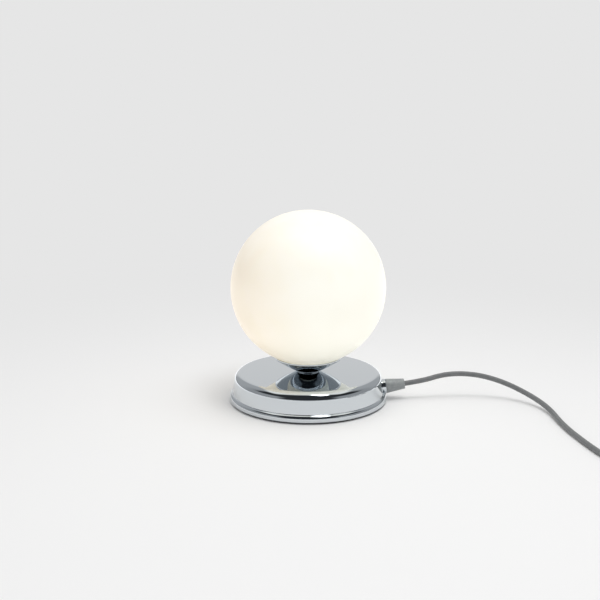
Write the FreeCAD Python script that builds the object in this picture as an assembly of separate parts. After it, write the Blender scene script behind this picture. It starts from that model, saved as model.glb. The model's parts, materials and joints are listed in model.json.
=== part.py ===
"""Glass globe table lamp: an opal glass ball in a shallow chrome cup on a round chrome base.

Millimetres, +Z up. The origin is the centre of the foot pad's lower face, so the lamp stands on z = 0.
The cord leaves the base along +X, and its put-away coil lies on the same surface, at the front right.
"""

import FreeCAD
import Part
import math
import os

# ---- driving dimensions -------------------------------------------------------------------------

# globe
GLOBE_RADIUS = 75.0
GLOBE_WALL = 2.6
GLOBE_HOLE_RADIUS = 26.0
GLOBE_SEAT_GAP = 0.3          # between the glass and the ring it sits on

# base shell, spun from sheet
PAD_PROUD = 1.5               # how far the foot pad lifts the shell off the table
SHELL_WALL = 1.2
FLANGE_RADIUS = 77.2
FLANGE_HEIGHT = 7.1
FLANGE_ROUND = 3.8
FLANGE_LOWER_BREAK = 0.9
COVE_RADIUS = 0.35            # hollow corner between flange and wall
SHELL_EDGE_HEIGHT = 26.96     # flange's lower edge to the end of the top's round
TOP_ROUND = 7.8
TOP_SETBACK = 12.07           # flange's edge to the middle of the top's round
WALL_LEAN = math.radians(5.6)
DOME_RADIUS = 2200.0          # the top is very slightly domed
LAND_RADIUS = 11.5            # flat land in the middle of the top

# underside
PAD_INNER_RADIUS = 52.0
PAD_SETBACK = 2.9             # inside the flange's edge
COVER_RECESS = 0.3            # the cover lies this far inside the flange
COVER_THICKNESS = 1.0
COVER_CLEARANCE = 0.2
COVER_SCREW_CIRCLE = 44.0
COVER_SCREW_COUNT = 3
COVER_SCREW_RADIUS = 1.5
COVER_SCREW_LENGTH = 7.0
COVER_HEAD_RADIUS = 2.9
SCREW_SLOT_WIDTH = 0.7
COVER_SLOT_DEPTH = 0.5

# cast weight
WEIGHT_SETBACK = 11.2         # inside the flange's edge
WEIGHT_CHAMFER = 2.0
WEIGHT_HEIGHT = 10.0
POCKET_DEPTH = 6.0
POCKET_START_X = 20.0
POCKET_HALF_WIDTH = 17.0
COUNTERBORE_RADIUS = 9.5
COUNTERBORE_DEPTH = 5.5

# hollow threaded rod, M10 x 1, that clamps everything
ROD_RADIUS = 4.9
ROD_BORE = 3.4
ROD_HOLE_CLEARANCE = 0.15
ROD_BELOW_NUT = 0.4
NUT_FLATS = 14.0
NUT_HEIGHT = 3.5
WASHER_THICKNESS = 1.0
WASHER_RADIUS = 8.6
SPACER_RADIUS = 8.0
WINDOW_LOW_Z = 15.2           # side window where the wires enter the rod
WINDOW_HIGH_Z = 22.8
WINDOW_HALF_WIDTH = 2.6

# cup under the globe
COLLAR_RADIUS = 10.8
COLLAR_HEIGHT = 0.6
CUP_LIP_RADIUS = 32.8
CUP_LIP_WALL = 1.0
CUP_LIP_TOP = 14.5            # above the cup's foot
CUP_LEDGE = 13.0              # where the sealing ring lies, above the cup's foot
CUP_FLOOR_THICKNESS = 1.0
CUP_BOWL_SAG = (0.15, -0.9)   # the bowl's middle, off the straight line between its ends
CUP_INSIDE_SAG = (0.51, -0.2)
CUP_EDGE_ROUND = 0.4
GASKET_CLEARANCE = 0.1
GASKET_WIDTH = 1.6            # its ledge, from the lip inwards
GASKET_THICKNESS = 0.85

# spring clip that holds the glass
CLIP_PLATE_RADIUS = 17.4
CLIP_PLATE_THICKNESS = 1.0
SPRING_COUNT = 3
SPRING_THICKNESS = 0.5
SPRING_WIDTH = 8.0
SPRING_CLEARANCE = 0.1
SPRING_OVER_EDGE = 0.7        # start of the upright part, above the edge of the hole in the glass
SPRING_UPRIGHT = 7.1
SPRING_LEAD_IN = (2.2, 4.0)   # how far the end leans in, and its height
SPRING_KNEE = 5.0             # where it leaves the plate's edge for the glass, further out
RIVET_CIRCLE = 15.5
RIVET_RADIUS = 0.9
RIVET_HEAD_RADIUS = 1.4
RIVET_HEAD_HEIGHT = 0.5

# lampholder, E14
HOLDER_CAP_RADIUS = 13.5
HOLDER_CAP_HEIGHT = 7.5
HOLDER_SPIGOT_RADIUS = 12.3
HOLDER_SPIGOT_HEIGHT = 5.0
HOLDER_CAVITY_RADIUS = 10.6
HOLDER_CAP_FLOOR = 8.3
ROD_IN_HOLDER = 8.0
HOLDER_CORE_HEIGHT = 9.0
HOLDER_SHELL_RADIUS = 14.0
HOLDER_SHELL_TOP_RADIUS = 13.2
HOLDER_SHELL_WALL = 1.2
HOLDER_MOUTH_RADIUS = 9.2
HOLDER_MOUTH_HEIGHT = 16.0    # above the core
CAP_CLEARANCE = 0.2           # round the bulb's cap
SLEEVE_WALL = 0.75
SLEEVE_HEIGHT = 13.5
CONTACT_HEIGHT = 2.0
TERMINAL_OFFSET = 7.0
TERMINAL_HEAD_RADIUS = 2.6
TERMINAL_HEAD_HEIGHT = 2.1
TERMINAL_SHANK_RADIUS = 1.5
TERMINAL_SHANK_LENGTH = 5.0
SCREW_CLEARANCE = 0.05

# bulb, 45 mm ball on an E14 cap
BULB_GAP = 0.2                # bulb tip above the centre contact
BULB_RADIUS = 22.5
BULB_WALL = 1.2
BULB_LENGTH = 78.0
BULB_NECK_RADIUS = 13.0
BULB_NECK_WALL = 1.6
BULB_CAP_RADIUS = 6.95
BULB_CAP_WALL = 1.15
BULB_CAP_LENGTH = 16.0
BULB_THREAD_PITCH = 2.82
BULB_THREAD_DEPTH = 0.45
BULB_THREAD_COUNT = 4
BULB_TIP_RADIUS = 2.4
BULB_TIP_HEIGHT = 0.9
INSULATOR_HEIGHT = 1.9
BOARD_THICKNESS = 1.6
BOARD_BELOW_RIM = 2.0
BOARD_CLEARANCE = 0.1

# cord and its gland in the base's wall
CORD_RADIUS = 2.5
CORD_CLEARANCE = 0.05
GLAND_HEIGHT = 11.4           # axis at the wall, above the flange's lower edge
GLAND_TILT = math.radians(8.0)
GLAND_COLLAR_RADIUS = 7.3
GLAND_COLLAR_LENGTH = 3.4
GLAND_SHANK_RADIUS = 4.9
GLAND_SHANK_LENGTH = 8.0
GLAND_BORE_GAP = 0.7          # round the cord
GLAND_NUT_HEIGHT = 3.0
GLAND_NUT_SETBACK = 1.9
GRIP_ROOT_RADIUS = 7.0
GRIP_TIP_RADIUS = 4.9
GRIP_LENGTH = 18.2
INLET_LENGTH = 24.0           # cord inside the base, measured in from the wall

# wiring in the base
CLAMP_SETBACK = 20.2          # its middle, inside the flange's edge
CLAMP_LENGTH = 8.0
CLAMP_WIDTH = 24.0
CLAMP_OVER_CORD = 3.2
CLAMP_SCREW_Y = 8.2
SMALL_SCREW_RADIUS = 1.3
SMALL_SCREW_DEPTH = 3.0       # in the casting
CLAMP_HEAD_RADIUS = 2.5
CLAMP_HEAD_HEIGHT = 1.6
BLOCK_X = 25.0
BLOCK_LENGTH = 17.0
BLOCK_WIDTH = 17.0
BLOCK_HEIGHT = 12.5
POLE_Y = 4.2
POLE_HEIGHT = 6.0             # above the pocket's floor
BARREL_RADIUS = 2.2
BARREL_BORE = 1.4
BARREL_SCREW_INSET = 4.0      # from each end of the block
BARREL_SCREW_RADIUS = 1.2
BARREL_HEAD_RADIUS = 1.5
BLOCK_HEAD_RADIUS = 2.4
BLOCK_HEAD_HEIGHT = 1.5
WIRE_RADIUS = 0.9
WIRE_SPACING = 1.15

# the free cord: from the grip's tip to the switch
SWITCH_LENGTH = 58.0
SWITCH_WIDTH = 24.0
SWITCH_HEIGHT = 15.0
SWITCH_SPLIT = 7.5
SWITCH_WALL = 1.8
SWITCH_CORNER = 9.0
SWITCH_EDGE_ROUND = 2.4
SWITCH_FOOT_ROUND = 1.2
SWITCH_BOSS_RADIUS = 2.9
SWITCH_BOSS_INSET = 2.6       # its middle, inside the wall's inner face
SWITCH_HEAD_RADIUS = 2.4
SWITCH_HEAD_SEAT = 1.4        # top of the countersunk head, above the table
SWITCH_SCREW_REACH = 3.5      # above the split
SWITCH_START = (298.0, -204.0)
SWITCH_AXIS_Z = 5.4
CORD_IN_SWITCH = 6.0
FIRST_RUN = 17.5              # straight out of the grip
CORD_ROUTE = [
    (135.5, 4.0, 24.7),
    (163.0, 5.0, 24.5),
    (189.0, 1.5, 18.8),
    (213.0, -11.0, 10.0),
    (229.0, -39.0, 4.3),
    (231.5, -84.0, 2.6),
    (239.3, -127.0, 2.6),
    (249.0, -166.0, 2.6),
    (264.5, -195.0, 3.4),
    (284.0, -204.0, 5.4),
]

# rocker of the switch
ROCKER_LENGTH = 15.0
ROCKER_WIDTH = 9.4
ROCKER_GAP = 0.8
ROCKER_PIVOT_Z = 11.6
ROCKER_RISE = 4.6
ROCKER_DROP = 2.4
ROCKER_TILT = 8.0             # degrees to each side
ROCKER_PIN_RADIUS = 1.0
PIVOT_CLEARANCE = 0.05
PIN_BOSS_WIDTH = 2.4

# the put-away coil
COIL_LEAD = 35.0              # cord between switch and coil
COIL_RADIUS = 38.75           # outermost half turn, to the cord's middle
COIL_TURN_GAP = 0.5           # between neighbouring turns
COIL_LAYER_GAP = 0.6
COIL_HALF_TURNS_IN = 6        # half turns of a layer, before and after the one that climbs
COIL_OVER_TABLE = 0.9         # the tie passes under the turns
COIL_END_STRAIGHT = 5.0
TIE_THICKNESS = 0.7
TIE_WIDTH = 5.0
TIE_CLEARANCE = 0.2
TIE_UNDER = 0.65              # its thickness under the turns
TIE_ROUND = 1.0
TIE_INNER_SLACK = 1.0         # the band runs straight where the turns curve

# plug, two round pins
PLUG_RUN = 20.0               # each straight run of its cord, which turns to +Y
PLUG_TURNS = 3
PLUG_CORD_DEPTH = 1.0         # cord inside the plug's sleeve
PLUG_RELIEF_LENGTH = 20.0
PLUG_RELIEF_RADIUS = 5.2
PLUG_RELIEF_TIP_RADIUS = 3.6
PLUG_RELIEF_RINGS = 5
PLUG_RING_SHARE = 0.65        # of each step of the sleeve, the rest is groove
PLUG_RING_DEPTH = 0.6
PLUG_LENGTH = 36.0
PLUG_WIDTH = 35.0
PLUG_NECK_WIDTH = 15.0
PLUG_THICKNESS = 13.7
PLUG_SHOULDER = 14.0          # from the neck to the widest place
PLUG_FACE_TAPER = 1.5
PLUG_CORNER_ROUND = 3.0
PLUG_EDGE_ROUND = 1.6
PIN_SPACING = 19.0
PIN_RADIUS = 2.0
PIN_LENGTH = 19.0
PIN_CORE_RADIUS = 1.5
PIN_SLEEVE_LENGTH = 10.0
PIN_SLEEVE_CLEARANCE = 0.05
PIN_IN_BODY = 8.0
PIN_END_ROUND = 0.9

# ---- sizes and levels worked out from them ------------------------------------------------------

TOP_ROUND_CENTRE_R = FLANGE_RADIUS - TOP_SETBACK
PAD_OUTER_RADIUS = FLANGE_RADIUS - PAD_SETBACK
WEIGHT_RADIUS = FLANGE_RADIUS - WEIGHT_SETBACK
CLAMP_X = FLANGE_RADIUS - CLAMP_SETBACK
CUP_BORE = CUP_LIP_RADIUS - CUP_LIP_WALL
GASKET_INNER_RADIUS = CUP_BORE - GASKET_WIDTH
SLEEVE_BORE = BULB_CAP_RADIUS + CAP_CLEARANCE
BULB_CAP_BORE = BULB_CAP_RADIUS - BULB_CAP_WALL
GLAND_BORE = CORD_RADIUS + GLAND_BORE_GAP
COIL_PITCH = 2 * CORD_RADIUS + COIL_TURN_GAP
COIL_LAYER = 2 * CORD_RADIUS + COIL_LAYER_GAP
COIL_LOWEST_Z = CORD_RADIUS + COIL_OVER_TABLE

SHELL_BOTTOM = PAD_PROUD
COVER_BOTTOM = SHELL_BOTTOM + COVER_RECESS
WEIGHT_BOTTOM = COVER_BOTTOM + COVER_THICKNESS
WEIGHT_TOP = WEIGHT_BOTTOM + WEIGHT_HEIGHT
POCKET_FLOOR = WEIGHT_TOP - POCKET_DEPTH
COUNTERBORE_TOP = WEIGHT_BOTTOM + COUNTERBORE_DEPTH
LOWER_NUT_TOP = COUNTERBORE_TOP - WASHER_THICKNESS
ROD_BOTTOM = LOWER_NUT_TOP - NUT_HEIGHT - ROD_BELOW_NUT

TOP_ROUND_CENTRE_Z = SHELL_BOTTOM + SHELL_EDGE_HEIGHT - TOP_ROUND
DOME_SLOPE = math.asin(TOP_ROUND_CENTRE_R / (DOME_RADIUS - TOP_ROUND))
DOME_CENTRE_Z = TOP_ROUND_CENTRE_Z + (TOP_ROUND - DOME_RADIUS) * math.cos(DOME_SLOPE)
LAND_Z = DOME_CENTRE_Z + math.sqrt(DOME_RADIUS**2 - LAND_RADIUS**2)

CUP_FOOT = LAND_Z + COLLAR_HEIGHT
CUP_FLOOR = CUP_FOOT + CUP_FLOOR_THICKNESS
GASKET_TOP = CUP_FOOT + CUP_LEDGE + GASKET_THICKNESS
GLOBE_CENTRE_Z = GASKET_TOP + GLOBE_SEAT_GAP + math.sqrt(GLOBE_RADIUS**2 - GASKET_INNER_RADIUS**2)
GLOBE_HOLE_Z = GLOBE_CENTRE_Z - math.sqrt(GLOBE_RADIUS**2 - GLOBE_HOLE_RADIUS**2)
UPPER_NUT_TOP = CUP_FLOOR + NUT_HEIGHT
HOLDER_Z = UPPER_NUT_TOP + CLIP_PLATE_THICKNESS
ROD_TOP = HOLDER_Z + ROD_IN_HOLDER
CORE_BOTTOM = HOLDER_Z + HOLDER_CAP_HEIGHT + HOLDER_SPIGOT_HEIGHT
CORE_TOP = CORE_BOTTOM + HOLDER_CORE_HEIGHT
TERMINAL_HEAD_BOTTOM = CORE_BOTTOM - TERMINAL_HEAD_HEIGHT

BULB_TIP = CORE_TOP + CONTACT_HEIGHT + BULB_GAP
BULB_CAP_BOTTOM = BULB_TIP + BULB_TIP_HEIGHT + INSULATOR_HEIGHT
BULB_CAP_TOP = BULB_CAP_BOTTOM + BULB_CAP_LENGTH
BULB_CENTRE_Z = BULB_TIP + BULB_LENGTH - BULB_RADIUS
BULB_RIM_Z = BULB_CENTRE_Z - math.sqrt(BULB_RADIUS**2 - BULB_NECK_RADIUS**2)

SWITCH_END_X = SWITCH_START[0] + SWITCH_LENGTH
COIL_CENTRE_X = SWITCH_END_X + COIL_LEAD + COIL_END_STRAIGHT
PLUG_AXIS_Z = PLUG_THICKNESS / 2


# ---- helpers ------------------------------------------------------------------------------------

def vec(x, y, z):
    return FreeCAD.Vector(x, y, z)


def revolve(start, *steps):
    """Turns an (r, z) outline about the Z axis. A step is a corner, or an arc's middle and end."""
    edges = []
    here = vec(start[0], 0, start[1])
    for step in steps + (start,):
        if isinstance(step[0], tuple):
            middle = vec(step[0][0], 0, step[0][1])
            end = vec(step[1][0], 0, step[1][1])
            edges.append(Part.Arc(here, middle, end).toShape())
        else:
            end = vec(step[0], 0, step[1])
            if end.distanceToPoint(here) > 1e-6:
                edges.append(Part.LineSegment(here, end).toShape())
        here = end
    face = Part.Face(Part.Wire(edges))
    return face.revolve(vec(0, 0, 0), vec(0, 0, 1), 360)


def on_arc(centre, radius, angle):
    """The point of a circle in an (r, z) outline at an angle from +r."""
    return (centre[0] + radius * math.cos(angle), centre[1] + radius * math.sin(angle))


def rod(radius, low, high, x=0.0, y=0.0):
    return Part.makeCylinder(radius, high - low, vec(x, y, low))


def ring(outer, inner, low, high, x=0.0, y=0.0):
    return rod(outer, low, high, x, y).cut(rod(inner, low - 1, high + 1, x, y))


def block(low, high):
    size = [b - a for a, b in zip(low, high)]
    return Part.makeBox(size[0], size[1], size[2], vec(*low))


def hexagon(across_flats, low, high):
    corner = across_flats / math.sqrt(3)
    turns = [math.pi / 3 * i for i in range(7)]
    points = [vec(corner * math.cos(turn), corner * math.sin(turn), low) for turn in turns]
    return Part.Face(Part.makePolygon(points)).extrude(vec(0, 0, high - low))


def around(shape, count, first_angle=0.0):
    """A group of copies of one solid, spaced evenly about the Z axis."""
    copies = []
    for i in range(count):
        copy = shape.copy()
        copy.rotate(vec(0, 0, 0), vec(0, 0, 1), first_angle + 360.0 / count * i)
        copies.append(copy)
    return Part.makeCompound(copies)


def ribbon(points, thickness, width):
    """A bent strip: an (x, z) centreline given a thickness, and a width along Y."""
    left = []
    right = []
    for i, (x, z) in enumerate(points):
        before = points[max(i - 1, 0)]
        after = points[min(i + 1, len(points) - 1)]
        into = math.atan2(z - before[1], x - before[0]) if i > 0 else None
        out = math.atan2(after[1] - z, after[0] - x) if i < len(points) - 1 else None
        into = out if into is None else into
        out = into if out is None else out
        half_turn = (out - into) / 2
        reach = thickness / 2 / math.cos(half_turn)
        normal = into + half_turn + math.pi / 2
        left.append(vec(x + reach * math.cos(normal), -width / 2, z + reach * math.sin(normal)))
        right.append(vec(x - reach * math.cos(normal), -width / 2, z - reach * math.sin(normal)))
    outline = left + right[::-1]
    face = Part.Face(Part.makePolygon(outline + [outline[0]]))
    return face.extrude(vec(0, width, 0))


def rounded_route(points):
    """Straight runs joined by tangent arcs, each as large as its two runs allow."""
    corners = [vec(*p) for p in points]
    edges = []
    radii = []
    length = 0.0
    here = corners[0]
    for before, corner, after in zip(corners, corners[1:], corners[2:]):
        come = (corner - before).normalize()
        go = (after - corner).normalize()
        turn = come.getAngle(go)
        cut = 0.45 * min(corner.distanceToPoint(before), corner.distanceToPoint(after))
        radius = cut / math.tan(turn / 2)
        start = corner - come * cut
        end = corner + go * cut
        inward = (go - come).normalize()
        middle = corner + inward * (radius / math.cos(turn / 2) - radius)
        edges.append(Part.LineSegment(here, start).toShape())
        edges.append(Part.Arc(start, middle, end).toShape())
        length += here.distanceToPoint(start) + radius * turn
        radii.append(radius)
        here = end
    edges.append(Part.LineSegment(here, corners[-1]).toShape())
    length += here.distanceToPoint(corners[-1])
    return Part.Wire(edges), length, radii


def sweep(path, radius, start, heading):
    """A round tube along a path of lines and arcs."""
    section = Part.Wire(Part.makeCircle(radius, start, heading))
    return path.makePipeShell([section], True, False)


def tube(name, points, radius):
    path, length, radii = rounded_route(points)
    solid = sweep(path, radius, vec(*points[0]), vec(*points[1]) - vec(*points[0]))
    share = solid.Volume / (math.pi * radius**2 * length)
    print(f"{name}: length {length:.1f}, volume over section times length {share:.4f}")
    print(f"{name}: arc radii {[round(r, 1) for r in radii]}")
    return solid


def along_gland(shape):
    """Moves a piece made along +Z from z = 0 to the gland's axis, with z = 0 at the shell's wall."""
    moved = shape.copy()
    moved.rotate(vec(0, 0, 0), vec(0, 1, 0), 90 - math.degrees(GLAND_TILT))
    moved.translate(vec(*gland_point(0)))
    return moved


def gland_point(distance):
    """A point on the gland's axis, that far out from the shell's wall."""
    z = SHELL_BOTTOM + GLAND_HEIGHT
    return (
        wall_radius(z) + distance * math.cos(GLAND_TILT),
        0.0,
        z + distance * math.sin(GLAND_TILT),
    )


# ---- base ---------------------------------------------------------------------------------------

def wall_radius(z):
    """The outside radius of the leaning wall at a height."""
    top = on_arc((TOP_ROUND_CENTRE_R, TOP_ROUND_CENTRE_Z), TOP_ROUND, WALL_LEAN)
    return top[0] + (top[1] - z) * math.tan(WALL_LEAN)


def hollow_corner(edge_centre):
    """The centre of the hollow corner that touches the wall and the flange's round, and its angle
    from the centre of that round."""
    away = (wall_radius(edge_centre[1]) - edge_centre[0]) * math.cos(WALL_LEAN) + COVE_RADIUS
    reach = FLANGE_ROUND + COVE_RADIUS
    angle = WALL_LEAN + math.acos(away / reach)
    return on_arc(edge_centre, reach, angle), angle


def base_form(inset):
    """The base's outside, drawn in by inset all over and open below where it is drawn in."""
    bottom = SHELL_BOTTOM - (5.0 if inset else 0.0)
    outer = FLANGE_RADIUS - inset
    edge = FLANGE_ROUND - inset
    edge_centre = (outer - edge, SHELL_BOTTOM + FLANGE_HEIGHT - FLANGE_ROUND)
    cove = COVE_RADIUS + inset
    cove_centre, meet = hollow_corner(edge_centre)
    top_centre = (TOP_ROUND_CENTRE_R, TOP_ROUND_CENTRE_Z)
    top_round = TOP_ROUND - inset
    dome = DOME_RADIUS - inset
    dome_start = math.pi / 2 - DOME_SLOPE
    land = math.acos(LAND_RADIUS / dome)
    dome_centre = (0.0, DOME_CENTRE_Z)
    lower_break = 0.0 if inset else FLANGE_LOWER_BREAK
    return revolve(
        (0.0, bottom),
        (outer - lower_break, bottom),
        (outer, bottom + lower_break),
        on_arc(edge_centre, edge, 0.0),
        (on_arc(edge_centre, edge, meet / 2), on_arc(edge_centre, edge, meet)),
        (
            on_arc(cove_centre, cove, math.pi + (meet + WALL_LEAN) / 2),
            on_arc(cove_centre, cove, math.pi + WALL_LEAN),
        ),
        on_arc(top_centre, top_round, WALL_LEAN),
        (on_arc(top_centre, top_round, math.pi / 4), on_arc(top_centre, top_round, dome_start)),
        (on_arc(dome_centre, dome, (dome_start + land) / 2), on_arc(dome_centre, dome, land)),
        (0.0, on_arc(dome_centre, dome, land)[1]),
    )


def base_shell():
    shell = base_form(0.0).cut(base_form(SHELL_WALL))
    shell = shell.cut(rod(ROD_RADIUS + ROD_HOLE_CLEARANCE, 0, LAND_Z + 5))
    return shell.cut(along_gland(rod(GLAND_SHANK_RADIUS + CORD_CLEARANCE, -12, 12)))


def shell_underside():
    return DOME_CENTRE_Z + math.sqrt((DOME_RADIUS - SHELL_WALL) ** 2 - LAND_RADIUS**2)


def foot_pad():
    return ring(PAD_OUTER_RADIUS, PAD_INNER_RADIUS, 0, COVER_BOTTOM)


def cover_screw_hole(radius, low, high):
    return around(rod(radius, low, high, COVER_SCREW_CIRCLE), COVER_SCREW_COUNT, 60)


def bottom_cover():
    radius = FLANGE_RADIUS - SHELL_WALL - COVER_CLEARANCE
    cover = rod(radius, COVER_BOTTOM, WEIGHT_BOTTOM)
    return cover.cut(cover_screw_hole(COVER_HEAD_RADIUS + SCREW_CLEARANCE, 0, WEIGHT_BOTTOM + 1))


def cover_screws():
    x = COVER_SCREW_CIRCLE
    head = rod(COVER_HEAD_RADIUS, COVER_BOTTOM, WEIGHT_BOTTOM, x)
    slot = screw_slot(x, 0.0, COVER_HEAD_RADIUS - 0.5, 0, COVER_BOTTOM + COVER_SLOT_DEPTH)
    shank = rod(COVER_SCREW_RADIUS, WEIGHT_BOTTOM, WEIGHT_BOTTOM + COVER_SCREW_LENGTH, x)
    return around(head.fuse(shank).cut(slot), COVER_SCREW_COUNT, 60)


def screw_slot(x, y, reach, low, high):
    """What a screwdriver's slot takes out of a head, along X."""
    half = SCREW_SLOT_WIDTH / 2
    return block((x - reach, y - half, low), (x + reach, y + half, high))


def base_weight():
    casting = rod(WEIGHT_RADIUS, WEIGHT_BOTTOM, WEIGHT_TOP)
    chamfered = [e for e in casting.Edges if e.BoundBox.ZMin > WEIGHT_TOP - 0.1]
    casting = casting.makeChamfer(WEIGHT_CHAMFER, chamfered)
    pocket = block(
        (POCKET_START_X, -POCKET_HALF_WIDTH, POCKET_FLOOR),
        (WEIGHT_RADIUS + 5, POCKET_HALF_WIDTH, WEIGHT_TOP + 5),
    )
    casting = casting.cut(pocket)
    casting = casting.cut(along_gland(rod(CORD_RADIUS + CORD_CLEARANCE, -INLET_LENGTH - 1, 0)))
    casting = casting.cut(rod(ROD_RADIUS + ROD_HOLE_CLEARANCE, 0, WEIGHT_TOP + 5))
    casting = casting.cut(rod(COUNTERBORE_RADIUS, 0, COUNTERBORE_TOP))
    hole = cover_screw_hole(COVER_SCREW_RADIUS + SCREW_CLEARANCE, 0, WEIGHT_BOTTOM + COVER_SCREW_LENGTH + 0.5)
    casting = casting.cut(hole)
    places = [(CLAMP_X, -CLAMP_SCREW_Y), (CLAMP_X, CLAMP_SCREW_Y), (BLOCK_X + BLOCK_LENGTH / 2, 0.0)]
    low = POCKET_FLOOR - SMALL_SCREW_DEPTH - 0.5
    for x, y in places:
        casting = casting.cut(rod(SMALL_SCREW_RADIUS + SCREW_CLEARANCE, low, POCKET_FLOOR + 1, x, y))
    return casting


# ---- stem: the hollow rod and what it clamps ----------------------------------------------------

def rod_bore_in(shape, low, high):
    return shape.cut(rod(ROD_RADIUS + SCREW_CLEARANCE, low - 1, high + 1))


def threaded_rod():
    hollow = ring(ROD_RADIUS, ROD_BORE, ROD_BOTTOM, ROD_TOP)
    window = block((0, -WINDOW_HALF_WIDTH, WINDOW_LOW_Z), (10, WINDOW_HALF_WIDTH, WINDOW_HIGH_Z))
    return hollow.cut(window)


def rod_nuts():
    """The nut under the weight and the one on the cup's floor."""
    lower = hexagon(NUT_FLATS, LOWER_NUT_TOP - NUT_HEIGHT, LOWER_NUT_TOP)
    upper = hexagon(NUT_FLATS, CUP_FLOOR, UPPER_NUT_TOP)
    return Part.makeCompound([rod_bore_in(nut, ROD_BOTTOM, ROD_TOP) for nut in (lower, upper)])


def rod_washer():
    return rod_bore_in(rod(WASHER_RADIUS, LOWER_NUT_TOP, COUNTERBORE_TOP), ROD_BOTTOM, ROD_TOP)


def spacer_tube():
    spacer = ring(SPACER_RADIUS, ROD_RADIUS + ROD_HOLE_CLEARANCE, WEIGHT_TOP, shell_underside())
    window = block((0, -WINDOW_HALF_WIDTH, WINDOW_LOW_Z), (10, WINDOW_HALF_WIDTH, WINDOW_HIGH_Z))
    return spacer.cut(window)


def stem_collar():
    return ring(COLLAR_RADIUS, ROD_RADIUS + ROD_HOLE_CLEARANCE, LAND_Z, CUP_FOOT)


def between(a, b, sag):
    """The middle of two outline points, moved off their line."""
    return ((a[0] + b[0]) / 2 + sag[0], (a[1] + b[1]) / 2 + sag[1])


def shade_cup():
    bore = ROD_RADIUS + ROD_HOLE_CLEARANCE
    lip = CUP_LIP_RADIUS
    lip_top = CUP_FOOT + CUP_LIP_TOP
    ledge = CUP_FOOT + CUP_LEDGE
    foot = (COLLAR_RADIUS, CUP_FOOT)
    shoulder = (lip - 0.9, ledge - 0.7)
    inside_top = (GASKET_INNER_RADIUS - 0.7, ledge - 1.2)
    inside_foot = (COLLAR_RADIUS + 0.6, CUP_FLOOR)
    edge = CUP_EDGE_ROUND
    return revolve(
        (bore, CUP_FOOT),
        foot,
        (between(foot, shoulder, CUP_BOWL_SAG), shoulder),
        ((lip - 0.25, ledge - 0.25), (lip, ledge + 0.4)),
        (lip, lip_top - edge),
        ((lip - 0.3 * edge, lip_top - 0.3 * edge), (lip - edge, lip_top)),
        (CUP_BORE, lip_top),
        (CUP_BORE, ledge),
        (GASKET_INNER_RADIUS - 0.3, ledge),
        inside_top,
        (between(inside_top, inside_foot, CUP_INSIDE_SAG), inside_foot),
        (bore, CUP_FLOOR),
    )


def shade_gasket():
    outer = CUP_BORE - GASKET_CLEARANCE
    return ring(outer, GASKET_INNER_RADIUS, CUP_FOOT + CUP_LEDGE, GASKET_TOP)


def clip_rivet_holes(radius):
    return around(rod(radius, UPPER_NUT_TOP - 3, HOLDER_Z + 3, RIVET_CIRCLE), SPRING_COUNT, 90)


def clip_plate():
    plate = rod_bore_in(rod(CLIP_PLATE_RADIUS, UPPER_NUT_TOP, HOLDER_Z), ROD_BOTTOM, ROD_TOP)
    return plate.cut(clip_rivet_holes(RIVET_RADIUS + SCREW_CLEARANCE))


def shade_springs():
    """Three leaves, riveted to the plate, that stand inside the hole in the glass."""
    face = math.sqrt((GLOBE_HOLE_RADIUS - SPRING_CLEARANCE) ** 2 - (SPRING_WIDTH / 2) ** 2)
    stand = face - SPRING_THICKNESS / 2
    base = HOLDER_Z + SPRING_THICKNESS / 2
    lower = GLOBE_HOLE_Z + SPRING_OVER_EDGE
    upper = lower + SPRING_UPRIGHT
    leaf = ribbon(
        [
            (RIVET_CIRCLE - 1.5, base),
            (CLIP_PLATE_RADIUS, base),
            (CLIP_PLATE_RADIUS + SPRING_KNEE, (base + lower) / 2),
            (stand, lower),
            (stand, upper),
            (stand - SPRING_LEAD_IN[0], upper + SPRING_LEAD_IN[1]),
        ],
        SPRING_THICKNESS,
        SPRING_WIDTH,
    )
    leaf = leaf.cut(rod(RIVET_RADIUS + SCREW_CLEARANCE, UPPER_NUT_TOP, HOLDER_Z + 3, RIVET_CIRCLE))
    return around(leaf, SPRING_COUNT, 90)


def clip_rivets():
    top = HOLDER_Z + SPRING_THICKNESS
    shank = rod(RIVET_RADIUS, UPPER_NUT_TOP, top, RIVET_CIRCLE)
    upper_head = rod(RIVET_HEAD_RADIUS, top, top + RIVET_HEAD_HEIGHT, RIVET_CIRCLE)
    lower_head = rod(RIVET_HEAD_RADIUS, UPPER_NUT_TOP - RIVET_HEAD_HEIGHT, UPPER_NUT_TOP, RIVET_CIRCLE)
    return around(shank.fuse([upper_head, lower_head]), SPRING_COUNT, 90)


# ---- globe --------------------------------------------------------------------------------------

def globe_shade():
    """A blown ball with one hole, whose edge is fire-polished round."""
    inner = GLOBE_RADIUS - GLOBE_WALL
    centre = (0.0, GLOBE_CENTRE_Z)
    edge = GLOBE_WALL / 2
    middle = GLOBE_RADIUS - edge
    lip_angle = -math.acos((GLOBE_HOLE_RADIUS + edge) / middle)
    lip = on_arc(centre, middle, lip_angle)
    return revolve(
        (0.0, GLOBE_CENTRE_Z + inner),
        (0.0, GLOBE_CENTRE_Z + GLOBE_RADIUS),
        (on_arc(centre, GLOBE_RADIUS, 0.0), on_arc(centre, GLOBE_RADIUS, lip_angle)),
        (on_arc(lip, edge, lip_angle - math.pi / 2), on_arc(centre, inner, lip_angle)),
        (on_arc(centre, inner, 0.0), (0.0, GLOBE_CENTRE_Z + inner)),
    )


# ---- lampholder ---------------------------------------------------------------------------------

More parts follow.
